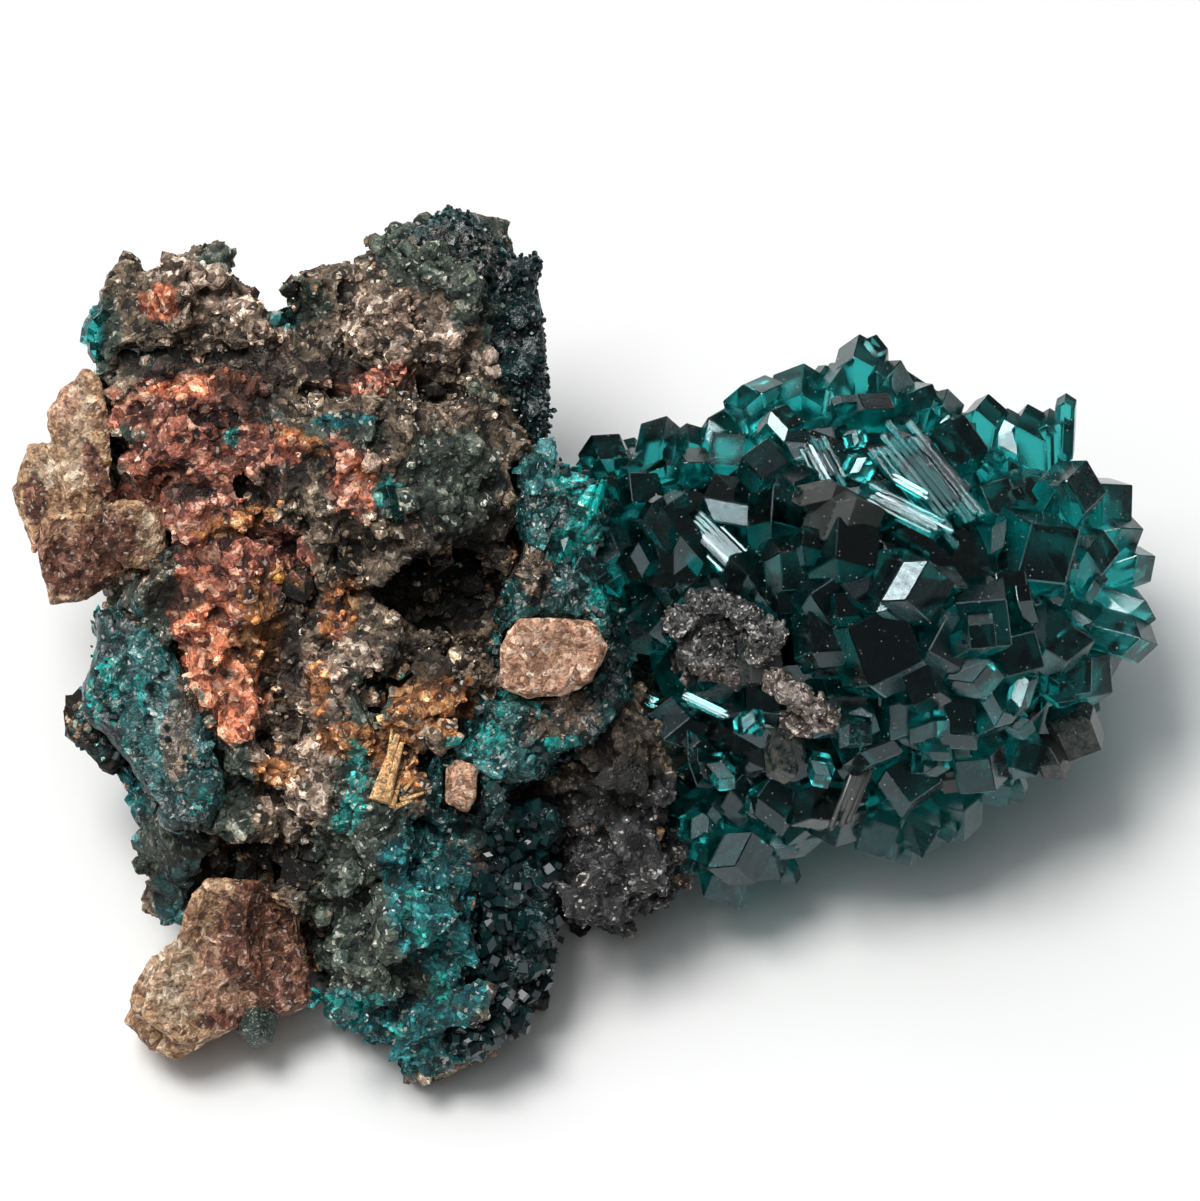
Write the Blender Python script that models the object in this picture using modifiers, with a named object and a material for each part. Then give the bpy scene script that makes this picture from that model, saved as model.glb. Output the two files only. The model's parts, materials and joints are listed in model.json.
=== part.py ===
"""A dioptase specimen, 50 mm wide: a lump of rusty gossan that carries blocks of calcite, four crusts of
dioptase and one large cluster of dioptase crystals. Metres, +Z up, resting on its trimmed base at Z = 0.

The show face is the side that the specimen is displayed by. It is looked at from SHOW_ANGLE above the rest
plane, and places on it are read off a grid: x steps to the right, y steps down, with SHOW_STEPS steps to the
width of the specimen. OUT is a distance in millimetres from the show face towards the eye."""

import math
import random

import bmesh
import bpy
from mathutils import Matrix, Vector

MM = 0.001
WIDTH = 50 * MM
SHOW_STEPS = 1140
STEP = WIDTH / SHOW_STEPS
SHOW_ANGLE = math.radians(60)
SHOW_DISTANCE = 400 * MM
SHOW_CENTRE = (600, 600)
SHOW_MIDDLE = Vector((0.8, 1.6, 11.2)) * MM
GAP = 0.3 * MM
GROUND_DEPTH = 60 * MM

# Dioptase is trigonal: a six-sided prism with three rhomb faces at each end, 51 degrees from the long axis.
PRISM_SIDES = 6
RHOMB_ANGLE = math.radians(51)

# The body of the rock, as an outline on the show face, and its lumps: place, out, half sizes in mm, roll.
ROCK_OUTLINE = (
    (122, 300), (150, 276), (182, 266), (212, 264), (234, 284), (252, 312), (268, 328), (298, 298), (330, 290),
    (356, 300), (376, 276), (402, 258), (440, 250), (490, 275), (520, 330), (528, 400), (540, 450), (575, 480),
    (600, 520), (610, 600), (630, 680), (660, 770), (675, 850), (672, 888), (640, 912), (600, 896), (562, 872),
    (540, 930), (520, 1010), (480, 1048), (425, 1070), (385, 1050), (338, 1012), (322, 960), (325, 900),
    (290, 880), (240, 890), (190, 905), (165, 890), (150, 850), (140, 810), (112, 765), (95, 700), (98, 640),
    (112, 600), (118, 560), (112, 500), (104, 440), (92, 390), (88, 350), (98, 322),
)
ROCK_FRONT = 0.6
ROCK_WAIST = (-10.0, 0.84)
ROCK_BACK_SLOPES = (0.62, -0.3)
ROCK_LUMPS = {
    "knob": (170, 320, -0.6, (3.4, 2.5, 3.0), 8),
    "knob_crown": (192, 286, -0.4, (1.7, 1.2, 1.8), 0),
    "pink_shoulder": (205, 432, 1.6, (3.9, 3.1, 3.2), -10),
    "saddle": (306, 362, -0.6, (3.0, 2.6, 3.0), 0),
    "saddle_bump": (330, 312, -0.4, (1.1, 1.1, 1.3), 0),
    "tower_flank": (430, 335, 0.6, (3.4, 4.6, 3.4), 6),
    "tower_back": (456, 326, -2.6, (3.5, 4.6, 4.0), 0),
    "tower_chip": (488, 362, 2.6, (0.7, 0.9, 0.9), 0),
    "boulder": (384, 470, 3.6, (5.0, 3.7, 3.6), 10),
    "boulder_left": (288, 450, 3.6, (2.2, 2.3, 2.4), 0),
    "boulder_right": (476, 478, 2.8, (2.2, 3.0, 2.8), 0),
    "red_mass": (240, 590, 2.0, (3.7, 5.0, 3.4), 10),
    "red_tongue": (232, 690, 2.6, (1.8, 3.0, 2.4), 4),
    "pit_rim": (338, 640, 2.2, (2.2, 3.6, 2.8), 0),
    "rusty_ledge": (428, 718, 2.4, (3.0, 1.8, 2.2), 34),
    "left_flank": (152, 690, 0.6, (2.8, 4.8, 3.0), -4),
    "left_foot": (188, 840, -0.6, (2.2, 2.5, 3.0), 0),
    "column": (362, 800, 1.6, (3.0, 4.8, 3.4), -4),
    "column_foot": (418, 950, 1.8, (3.4, 4.6, 3.0), 14),
    "column_tip": (432, 1034, 1.4, (2.6, 1.5, 2.2), 0),
    "druse_back": (500, 890, 0.2, (2.2, 5.2, 2.6), 6),
    "bridge": (624, 846, 0.4, (2.2, 2.8, 3.2), 0),
    "bridge_top": (622, 745, 0.4, (2.0, 3.0, 3.0), 0),
}
# Hollows eaten out of the rock, given in the same way.
ROCK_HOLLOWS = {
    "pit": (448, 592, 4.2, (3.0, 2.1, 3.8), -8),
    "under_knob": (190, 366, 2.8, (2.7, 0.5, 2.4), 6),
    "over_foot": (262, 866, 3.0, (2.8, 0.8, 3.0), 0),
    "under_wedge": (524, 806, 2.6, (2.2, 1.2, 3.0), 20),
    "beside_tongue": (290, 660, 5.4, (0.8, 2.2, 2.0), 0),
}
# The slabs that it all rests on: centre and half sizes in mm.
ROCK_SLABS = {
    "left_slab": ((-8.8, 1.4, 4.2), (12.0, 13.6, 5.8)),
    "right_slab": ((5.6, 4.8, 1.2), (13.0, 7.4, 4.4)),
    "back_slope": ((-10.6, 9.2, 8.2), (9.0, 5.6, 7.0)),
}
ROCK_GRAIN = 0.5 * MM
ROCK_SMOOTHING = 3
ROCK_RELIEF = ((4.4 * MM, 2.0 * MM), (2.2 * MM, 2.2 * MM))
ROCK_SHARE_OF_FACES = 0.033

# Slabs: outline on the show face, out of the front at its middle, depth in mm, rise of the front to the right
# and upwards as slopes, and the share that is left of the outline at the back.
CALCITE_BLOCKS = {
    "calcite_left_group": (
        (((46, 410), (62, 388), (84, 365), (100, 374), (110, 440), (112, 500), (92, 532), (62, 520), (54, 460)),
         2.6, 4.4, (0.35, -0.1), 0.7),
        (((11, 489), (20, 462), (28, 442), (53, 442), (70, 470), (84, 520), (62, 548), (44, 532), (34, 553),
          (24, 530)), 1.4, 3.8, (0.4, 0.2), 0.7),
        (((36, 545), (45, 515), (84, 505), (112, 512), (130, 538), (135, 566), (84, 601), (47, 607)),
         3.0, 4.4, (-0.3, 0.35), 0.72),
        (((102, 500), (130, 500), (160, 503), (168, 542), (157, 567), (124, 566), (104, 545)),
         4.4, 3.4, (-0.2, 0.4), 0.8),
    ),
    "calcite_foot": (
        (((140, 1020), (146, 985), (176, 940), (190, 892), (208, 878), (262, 880), (310, 896), (324, 972),
          (304, 1008), (242, 1026), (190, 1052)), 3.4, 7.0, (-0.25, 0.3), 0.8),
        (((124, 1022), (131, 990), (152, 956), (185, 930), (230, 950), (250, 1010), (179, 1059), (148, 1052)),
         2.2, 5.0, (0.2, 0.1), 0.8),
    ),
    "calcite_front_block": (
        (((506, 630), (518, 618), (560, 617), (596, 620), (610, 646), (592, 682), (562, 696), (527, 700),
          (499, 687), (499, 650)), 7.0, 3.0, (-0.06, 0.22), 0.86),
    ),
    "calcite_front_chip": (
        (((446, 768), (456, 759), (477, 766), (477, 798), (468, 812), (444, 804)), 5.4, 2.4, (0.2, 0.2), 0.8),
    ),
}
CALCITE_ROUNDING = 0.32 * MM

TOWER = (
    (((372, 268), (394, 243), (430, 213), (447, 203), (470, 209), (500, 238), (516, 253), (541, 251), (541, 272),
      (536, 292), (545, 330), (550, 380), (552, 432), (545, 448), (524, 436), (512, 405), (494, 360),
      (468, 330), (436, 302), (405, 290)), 2.0, 3.6, (0.06, -0.12), 0.8),
)
TOWER_DRUSE = ((462, 262), (505, 250), (536, 262), (540, 330), (545, 435), (520, 425), (500, 370), (480, 320))
LEFT_CRUST = (
    (((94, 604), (116, 600), (150, 612), (178, 645), (198, 700), (222, 760), (232, 800), (214, 834), (162, 832),
      (140, 800), (118, 765), (82, 715), (78, 690), (90, 640)), 3.6, 3.4, (0.2, -0.1), 0.8),
)
FRONT_CRUST = (
    (((512, 462), (540, 446), (575, 462), (602, 482), (608, 540), (612, 600), (626, 640), (628, 700), (606, 735),
      (575, 745), (545, 715), (500, 700), (492, 640), (512, 590), (522, 540), (514, 500)),
     4.6, 4.0, (-0.25, -0.05), 0.84),
    (((606, 715), (598, 740), (560, 762), (510, 792), (482, 830), (440, 835), (404, 820), (400, 800), (430, 772),
      (468, 738), (482, 700), (545, 700)), 4.4, 3.6, (0.0, 0.3), 0.86),
)
LOWER_DRUSE = (
    (((474, 812), (520, 800), (552, 812), (560, 850), (553, 900), (558, 940), (545, 985), (505, 1030),
      (480, 1056), (452, 1058), (462, 1000), (488, 930), (482, 870)), 2.6, 3.4, (-0.35, 0.0), 0.8),
)
CRUST_ROUNDING = 0.45 * MM
# Small crystals on each crust: how many, and the part of the show face that they stand on.
CRUST_CRYSTALS = {
    "dioptase_tower": (TOWER, 15, TOWER_DRUSE, (0.7, 0.0)),
    "dioptase_left_crust": (LEFT_CRUST, 4, LEFT_CRUST[0][0], (-0.6, 0.0)),
    "dioptase_front_crust": (FRONT_CRUST, 3, FRONT_CRUST[0][0], (0.5, 0.2)),
    "dioptase_lower_druse": (LOWER_DRUSE, 12, LOWER_DRUSE[0][0], (0.6, -0.3)),
}
SMALL_RADIUS = (0.6 * MM, 1.0 * MM)
SMALL_SPACING = 1.5 * MM
SMALL_INSET = 0.5 * MM

# The cluster: rounded cores of older crystals, and two patches where gossan grew into it.
CLUSTER_CORES = {
    "cluster_heart": (876, 612, -0.4, (9.0, 7.0, 8.2), -24),
    "cluster_crown": (848, 510, -0.8, (6.6, 4.5, 6.4), 0),
    "cluster_right": (1024, 556, -1.0, (3.4, 4.2, 5.0), 0),
    "cluster_left": (690, 562, 0.2, (3.8, 3.9, 4.8), 0),
    "cluster_lower": (784, 740, -0.8, (5.4, 3.2, 5.4), -10),
    "cluster_foot": (716, 828, -0.9, (1.6, 1.7, 2.8), 0),
}
CLUSTER_PATCHES = {
    "rough_patch_left": (716, 636, 4.2, (2.5, 1.9, 2.0), -16),
    "rough_patch_low": (802, 704, 4.8, (2.2, 1.4, 2.0), -14),
}
# Its crystals: place, radius and length in mm, the way that the long axis runs on the show face in degrees
# from the right, how far it stands out of the face in degrees, and its spin from a flat side facing the eye.
CLUSTER_CRYSTALS = (
    (610, 468, 1.2, 3.6, 120, 20, 20), (658, 460, 1.2, 3.6, 78, 15, 30),
    (727, 447, 1.5, 3.9, 82, 8, 4), (692, 454, 0.9, 3.0, 100, 20, 25),
    (778, 432, 1.25, 3.4, 75, 25, 0), (757, 406, 1.2, 3.4, 40, 20, 15), (800, 405, 1.5, 4.0, 85, 20, 30),
    (806, 463, 1.65, 3.8, 118, 15, 0), (733, 514, 1.7, 3.4, 103, 12, -18),
    (722, 553, 1.15, 5.0, 134, 8, 0), (694, 546, 0.8, 3.2, 130, 20, 20), (756, 586, 1.3, 3.8, 130, 20, 30),
    (670, 520, 1.1, 3.2, 60, 30, 0),
    (776, 522, 1.4, 3.8, 95, 35, 20), (790, 566, 1.5, 3.8, 30, 40, 0), (843, 518, 1.7, 4.4, 12, 6, 6),
    (846, 562, 1.8, 4.2, 100, 25, 15), (861, 380, 1.3, 4.2, 92, 12, 15), 
    (880, 396, 1.3, 3.8, 60, 12, 20), (908, 413, 1.2, 3.6, 50, 20, 0), (868, 418, 1.2, 3.2, 20, 40, 10),
    (938, 424, 1.0, 3.4, 75, 15, 25), (925, 484, 1.6, 7.2, 127, 5, -8), (950, 460, 0.95, 6.4, 127, 3, 12),
    (916, 514, 0.95, 5.0, 155, 10, 0),
    (960, 432, 1.25, 3.4, 35, 20, 10), (982, 430, 1.0, 3.4, 80, 15, 0),
    (1018, 446, 1.4, 4.2, 93, 10, -8), (1042, 452, 1.1, 4.0, 88, 10, 10), (1066, 496, 1.5, 3.8, 60, 15, 15),
    (1096, 506, 1.5, 3.8, 30, 12, 0), (1102, 536, 1.3, 3.8, 10, 12, 20),
    (1034, 552, 1.9, 4.0, 100, 62, 0), (1084, 562, 1.2, 3.8, 60, 30, 20),
    (1098, 592, 1.15, 5.2, -30, 10, 0), (1102, 630, 1.1, 4.2, -15, 10, 25),
    (917, 584, 1.6, 3.8, 2, 6, -12), (974, 616, 1.7, 3.8, 30, 50, 0),
    (1052, 654, 1.6, 4.2, 150, 35, 10), (878, 654, 1.85, 4.2, 145, 40, -12),
    (830, 634, 1.3, 3.4, 120, 40, 0), (970, 676, 1.5, 4.0, -8, 30, 8), (986, 708, 1.4, 3.6, 55, 40, 15),
    (1019, 693, 0.8, 3.4, 75, 10, -10), (950, 718, 1.3, 3.4, 110, 45, 0), (918, 702, 1.3, 3.6, 20, 40, 15),
    (863, 762, 0.6, 6.0, 69, 8, 0), (1070, 681, 1.3, 4.0, 32, 15, 10),
    (1060, 718, 1.5, 3.9, -40, 25, 0), (1036, 744, 1.05, 3.4, -60, 15, 20), (976, 758, 1.4, 3.8, -60, 30, 10),
    (1012, 752, 1.2, 3.4, 10, 25, 0),
    (952, 802, 1.5, 3.9, -75, 20, 15), (922, 816, 1.5, 3.9, -90, 20, 0), (884, 820, 1.5, 4.0, -80, 25, 10),
    (838, 808, 1.4, 3.8, -95, 25, 20), (905, 772, 1.6, 4.0, 60, 45, 0),
    (722, 848, 1.6, 3.8, 25, 25, 0), (730, 868, 1.4, 3.8, -80, 15, 0),
    (792, 828, 1.3, 4.0, 40, 20, 0), (816, 800, 1.3, 3.6, 20, 35, 0),
    (700, 764, 1.3, 3.8, 110, 30, 10), (734, 792, 1.3, 3.8, 60, 35, 20), (682, 712, 1.3, 3.6, 160, 15, 0),
    
    (758, 720, 1.2, 3.6, 150, 30, 15), (826, 600, 1.3, 3.4, 60, 40, 0),
)
# More crystals over the sides and back of the cluster, placed evenly and turned at random.
FILL_CRYSTALS = 60
FILL_RADIUS = (1.3 * MM, 1.7 * MM)
FILL_GROWTH_BEHIND = 1.6
FILL_LENGTH = 2.1
FILL_LEAN = 0.45
FILL_SPACING = 0.84
CHIEF_SPACING = 0.74
LOWEST_CRYSTAL = 2.0 * MM
# Left of this X, or under this height, the cluster's crystals come near the rock, which makes room for them.
CLUSTER_ROOM = (7.0 * MM, 10.0 * MM)
CRYSTAL_SEED = 12

FACE_RIGHT = Vector((1, 0, 0))
FACE_UP = Vector((0, math.sin(SHOW_ANGLE), math.cos(SHOW_ANGLE)))
FACE_OUT = Vector((0, -math.cos(SHOW_ANGLE), math.sin(SHOW_ANGLE)))
FACE_TURN = Matrix((FACE_RIGHT, FACE_UP, FACE_OUT)).transposed()
EYE = SHOW_MIDDLE + FACE_OUT * SHOW_DISTANCE

DIOPTASE = ("dioptase", (0.004, 0.075, 0.066, 1), 0.15)
GOSSAN = ("gossan", (0.13, 0.085, 0.06, 1), 0.9)
CALCITE = ("calcite", (0.42, 0.28, 0.19, 1), 0.7)


def place(x, y, out):
    """The point at this distance out of the show face that the eye sees at (x, y) of the grid."""
    right, up = (x - SHOW_CENTRE[0]) * STEP, (SHOW_CENTRE[1] - y) * STEP
    nearer = 1 - out * MM / SHOW_DISTANCE
    return SHOW_MIDDLE + (FACE_RIGHT * right + FACE_UP * up) * nearer + FACE_OUT * out * MM


def material(name, colour, roughness):
    made = bpy.data.materials.get(name) or bpy.data.materials.new(name)
    made.use_nodes = True
    shader = made.node_tree.nodes["Principled BSDF"]
    shader.inputs["Base Color"].default_value = colour
    shader.inputs["Roughness"].default_value = roughness
    return made


def clear_scene():
    for thing in list(bpy.data.objects):
        bpy.data.objects.remove(thing)
    for name in ("dioptase_specimen", "helpers"):
        bpy.context.scene.collection.children.link(bpy.data.collections.new(name))


def into(thing, collection):
    for old in list(thing.users_collection):
        old.objects.unlink(thing)
    collection.objects.link(thing)
    return thing


def object_of(name, form):
    """A helper object that holds this bmesh."""
    mesh = bpy.data.meshes.new(name)
    form.to_mesh(mesh)
    form.free()
    thing = into(bpy.data.objects.new(name, mesh), bpy.data.collections["helpers"])
    thing.hide_render = True
    thing.display_type = "WIRE"
    return thing


def ball(name, centre, half, turn, grow=0.0, facets=2):
    """A ball stretched to these half sizes in mm."""
    form = bmesh.new()
    bmesh.ops.create_icosphere(form, subdivisions=facets, radius=1.0)
    size = Matrix.Diagonal(Vector(half) * MM + Vector((grow, grow, grow))).to_4x4()
    bmesh.ops.transform(form, matrix=Matrix.Translation(centre) @ turn.to_4x4() @ size, verts=form.verts)
    return object_of(name, form)


def lump(name, spec, **how):
    x, y, out, half, roll = spec
    turn = FACE_TURN @ Matrix.Rotation(math.radians(roll), 3, "Z")
    return ball(name, place(x, y, out), half, turn, **how)


def widened(outline, by):
    """The outline with each side moved outwards by this many steps."""
    count, wide = len(outline), []
    area = sum(a[0] * b[1] - b[0] * a[1] for a, b in zip(outline, outline[1:] + outline[:1]))
    side = 1 if area > 0 else -1
    for here in range(count):
        before, at, after = (Vector(outline[(here + n) % count]) for n in (-1, 0, 1))
        first, second = (at - before).normalized(), (after - at).normalized()
        normal = Vector((first.y + second.y, -first.x - second.x)).normalized() * side
        reach = max(normal.dot(Vector((first.y, -first.x)) * side), 0.6)
        wide.append(tuple(at + normal * by / reach))
    return wide


def slab(name, spec, rounding, grow=0.0):
    """A block with the given outline on the show face, which narrows towards its back."""
    outline, out, depth, (rise_right, rise_up), left = spec
    outline = widened(list(outline), grow / STEP)
    middle = sum((Vector(point) for point in outline), Vector((0, 0))) / len(outline)
    form = bmesh.new()
    front = []
    for x, y in outline:
        rise = rise_right * (x - middle.x) * STEP / MM + rise_up * (middle.y - y) * STEP / MM
        front.append(form.verts.new(place(x, y, out + rise + grow / MM)))
    face = form.faces.new(front)
    moved = bmesh.ops.extrude_face_region(form, geom=[face])["geom"]
    back = [part for part in moved if isinstance(part, bmesh.types.BMVert)]
    behind = -FACE_OUT * (depth * MM + 2 * grow)
    centre = sum((corner.co for corner in back), Vector()) / len(back)
    for corner in back:
        corner.co = centre + (corner.co - centre) * left + behind
    bmesh.ops.recalc_face_normals(form, faces=form.faces)
    rim = [edge for edge in form.edges if all(corner in front for corner in edge.verts)]
    bmesh.ops.bevel(form, geom=rim, offset=rounding, segments=1, affect="EDGES", clamp_overlap=True)
    return object_of(name, form)


def cut_flat(form, point, normal):
    """Takes off what lies beyond a plane, and closes the cut."""
    everything = form.verts[:] + form.edges[:] + form.faces[:]
    cut = bmesh.ops.bisect_plane(form, geom=everything, plane_co=point, plane_no=normal, clear_outer=True)
    rim = [part for part in cut["geom_cut"] if isinstance(part, bmesh.types.BMEdge)]
    bmesh.ops.contextual_create(form, geom=rim)


def crystal(name, centre, radius, length, axis, spin, grow=0.0):
    """One dioptase crystal: a six-sided prism, cut at each end by three rhomb faces that meet in a point."""
    radius, length = radius + grow, length + 2 * grow / math.cos(RHOMB_ANGLE)
    form = bmesh.new()
    prism = {"segments": PRISM_SIDES, "radius1": radius, "radius2": radius, "depth": 2 * length}
    bmesh.ops.create_cone(form, cap_ends=True, **prism)
    across, along = math.sin(RHOMB_ANGLE), math.cos(RHOMB_ANGLE)
    for end, first in ((1, 30), (-1, 90)):
        for side in range(3):
            azimuth = math.radians(first + 120 * side)
            normal = Vector((across * math.cos(azimuth), across * math.sin(azimuth), end * along))
            cut_flat(form, Vector((0, 0, end * length / 2)), normal)
    flat = (FACE_OUT - axis * FACE_OUT.dot(axis)).normalized()
    turn = Matrix((flat, axis.cross(flat), axis)).transposed() @ Matrix.Rotation(math.radians(spin), 3, "Z")
    bmesh.ops.transform(form, matrix=Matrix.Translation(centre) @ turn.to_4x4(), verts=form.verts)
    return object_of(name, form)


def gathered(name, things):
    """A collection of helpers, for a Boolean to read at once."""
    group = bpy.data.collections.new(name)
    bpy.data.collections["helpers"].children.link(group)
    for thing in things:
        into(thing, group)
    return group


def boolean(thing, operation, group):
    step = thing.modifiers.new(operation.lower(), "BOOLEAN")
    step.operation = operation
    step.solver = "MANIFOLD"
    step.operand_type = "COLLECTION"
    step.collection = group


def largest_body(mesh):
    """Drops the crumbs that a cut leaves, and keeps the one big body."""
    form = bmesh.new()
    form.from_mesh(mesh)
    left, bodies = set(form.verts), []
    while left:
        body, edge_of_body = set(), [left.pop()]
        while edge_of_body:
            corner = edge_of_body.pop()
            body.add(corner)
            near = {edge.other_vert(corner) for edge in corner.link_edges} & left
            left -= near
            edge_of_body.extend(near)
        bodies.append(body)
    bodies.sort(key=len)
    for crumb in bodies[:-1]:
        bmesh.ops.delete(form, geom=list(crumb), context="VERTS")
    form.to_mesh(mesh)
    form.free()


def node(name, thing, kind):
    """The finished solid: the helper with its modifiers worked in, as a part of the specimen."""
    bpy.context.view_layer.update()
    graph = bpy.context.evaluated_depsgraph_get()
    mesh = bpy.data.meshes.new_from_object(thing.evaluated_get(graph))
    largest_body(mesh)
    mesh.name = name
    mesh.materials.clear()
    mesh.materials.append(material(*kind))
    made = bpy.data.objects.new(name, mesh)
    bpy.data.collections["dioptase_specimen"].objects.link(made)
    return made


def joined(name, things, kind, *cutters):
    """One node from overlapping helpers, less what the cutters take."""
    first, *rest = things
    if rest:
        boolean(first, "UNION", gathered(name + "_forms", rest))
    for cutter in cutters:
        boolean(first, "DIFFERENCE", cutter)
    return node(name, first, kind)


def ground():
    """A box below the rest plane, which trims what would reach under it."""
    if "ground" in bpy.data.collections:
        return bpy.data.collections["ground"]
    form = bmesh.new()
    bmesh.ops.create_cube(form, size=2 * GROUND_DEPTH)
    bmesh.ops.translate(form, vec=(0, 0, -GROUND_DEPTH), verts=form.verts)
    return gathered("ground", [object_of("ground_box", form)])


def core_frame(spec):
    x, y, out, half, roll = spec
    return place(x, y, out), FACE_TURN @ Matrix.Rotation(math.radians(roll), 3, "Z"), Vector(half) * MM


def depth_of_cores(point):
    """How far out of the show plane through the point its line of sight meets the cores, at their nearest."""
    along = (EYE - point).normalized()
    found, closest = None, None
    for spec in CLUSTER_CORES.values():
        centre, turn, size = core_frame(spec)
        begin = Vector(b / s for b, s in zip(turn.transposed() @ (point - centre), size))
        way = Vector(w / s for w, s in zip(turn.transposed() @ along, size))
        half_b, c, square = begin.dot(way), begin.dot(begin) - 1, way.dot(way)
        root = half_b * half_b - square * c
        miss = begin.dot(begin) - half_b * half_b / square
        if closest is None or miss < closest[0]:
            closest = (miss, -half_b / square)
        if root >= 0:
            travel = (-half_b + math.sqrt(root)) / square
            found = travel if found is None else max(found, travel)
    return point + along * (closest[1] if found is None else found)


def chief_crystals():
    """(centre, radius, length, axis, spin) of each crystal in the table, seated on the cores."""
    found = []
    for x, y, radius, length, angle, stand, spin in CLUSTER_CRYSTALS:
        angle, stand = math.radians(angle), math.radians(stand)
        across = FACE_RIGHT * math.cos(angle) + FACE_UP * math.sin(angle)
        axis = across * math.cos(stand) + FACE_OUT * math.sin(stand)
        found.append((depth_of_cores(place(x, y, 0)), radius * MM, length * MM, axis, spin))
    return found


def inside_cores(point, own, margin=0.8):
    for name, spec in CLUSTER_CORES.items():
        centre, turn, size = core_frame(spec)
        away = turn.transposed() @ (point - centre)
        if name != own and sum((a / s) ** 2 for a, s in zip(away, size)) < margin:
            return True
    return False


def fill_crystals(taken):
    """Crystals spread evenly over the cores, wherever none is yet and no rock lies against them."""
    chance = random.Random(CRYSTAL_SEED)
    found = []
    golden = math.pi * (3 - math.sqrt(5))
    rock_side = place(560, 600, -3)
    for name, spec in CLUSTER_CORES.items():
        centre, turn, size = core_frame(spec)
        for step in range(FILL_CRYSTALS):
            drop = 1 - 2 * (step + 0.5) / FILL_CRYSTALS
            ring, angle = math.sqrt(1 - drop * drop), golden * step
            unit = Vector((ring * math.cos(angle), ring * math.sin(angle), drop))
            point = centre + turn @ Vector(u * s for u, s in zip(unit, size))
            facing = (turn @ Vector(u / s for u, s in zip(unit, size))).normalized()
            radius = chance.uniform(*FILL_RADIUS) * (FILL_GROWTH_BEHIND if facing.dot(FACE_OUT) < -0.1 else 1)
            lean = Vector(chance.uniform(-1, 1) for _ in range(3)) * FILL_LEAN
            spin = chance.uniform(0, 120)
            crowded = any(
                (point - other).length < (FILL_SPACING if filled else CHIEF_SPACING) * (radius + wide)
                for other, wide, filled in taken
            )
            to_rock = facing.dot((rock_side - point).normalized())
            if crowded or to_rock > 0.6 or point.z < LOWEST_CRYSTAL or inside_cores(point, name):
                continue
            taken.append((point, radius, True))
            found.append((point, radius, radius * FILL_LENGTH, (facing + lean).normalized(), spin))
    return found


def within(outline, x, y):
    """True if the grid point lies inside the outline."""
    inside = False
    for (ax, ay), (bx, by) in zip(outline, outline[1:] + outline[:1]):
        if (ay > y) != (by > y) and x < ax + (bx - ax) * (y - ay) / (by - ay):
            inside = not inside
    return inside


def crust_crystals(slabs, count, stand_on, lean):
    """Small crystals on the front of a crust, kept apart from each other."""
    chance = random.Random(CRYSTAL_SEED + count)
    stand_on = widened(list(stand_on), -SMALL_INSET / STEP)
    xs, ys = zip(*stand_on)
    found, tries = [], 0
    outline, out, _, (rise_right, rise_up), _ = slabs[0]
    middle_x, middle_y = (sum(values) / len(outline) for values in zip(*outline))
    while len(found) < count and tries < 4000:
        tries += 1
        x, y = chance.uniform(min(xs), max(xs)), chance.uniform(min(ys), max(ys))
        if not within(stand_on, x, y):
            continue
        rise = rise_right * (x - middle_x) * STEP / MM + rise_up * (middle_y - y) * STEP / MM
        centre = place(x, y, out + rise - 0.1)
        if any((centre - other[0]).length < SMALL_SPACING for other in found):
            continue
        radius = chance.uniform(*SMALL_RADIUS)
        side = Vector(chance.uniform(-1, 1) for _ in range(3)) * 0.5
        axis = (FACE_OUT + FACE_RIGHT * lean[0] + FACE_UP * lean[1] + side).normalized()
        found.append((centre, radius, radius * 2.6, axis, chance.uniform(0, 120)))
    return found


def build_calcite():
    """The tan blocks, and the room that they take."""
    rooms = []
    for name, specs in CALCITE_BLOCKS.items():
        blocks = [slab(f"{name}_{n}", spec, CALCITE_ROUNDING) for n, spec in enumerate(specs)]
        joined(name, blocks, CALCITE, ground())
        rooms += [slab(f"{name}_room_{n}", spec, CALCITE_ROUNDING, grow=GAP) for n, spec in enumerate(specs)]
    return gathered("calcite_room", rooms)


def build_cluster():
    """The big cluster, and the room that it takes in the rock."""
    chief = chief_crystals()
    crystals = chief + fill_crystals([(centre, radius, False) for centre, radius, *_ in chief])
    forms = [lump(key, spec, facets=2) for key, spec in {**CLUSTER_CORES, **CLUSTER_PATCHES}.items()]
    forms += [crystal(f"cluster_crystal_{n}", *one) for n, one in enumerate(crystals)]
    joined("dioptase_cluster", forms, DIOPTASE, ground())
    room = [lump(key + "_room", spec, grow=1.7 * GAP) for key, spec in CLUSTER_CORES.items()]
    by_rock = [one for one in crystals if one[0].x < CLUSTER_ROOM[0] or one[0].z < CLUSTER_ROOM[1]]
    room += [crystal(f"cluster_room_{n}", *one, grow=GAP) for n, one in enumerate(by_rock)]
    return gathered("cluster_room", room)


def build_crusts(rooms):
    """The four crusts, each less the room of the pieces made before it. Adds the room that each takes."""
    for name, (slabs, count, stand_on, lean) in CRUST_CRYSTALS.items():
        crystals = crust_crystals(slabs, count, stand_on, lean)
        forms = [slab(f"{name}_{n}", spec, CRUST_ROUNDING) for n, spec in enumerate(slabs)]
        forms += [crystal(f"{name}_crystal_{n}", *one) for n, one in enumerate(crystals)]
        joined(name, forms, DIOPTASE, *rooms, ground())
        room = [slab(f"{name}_room_{n}", spec, CRUST_ROUNDING, grow=GAP) for n, spec in enumerate(slabs)]
        room += [crystal(f"{name}_room_crystal_{n}", *one, grow=GAP) for n, one in enumerate(crystals)]
        rooms.append(gathered(name + "_room", room))
    return rooms


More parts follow.
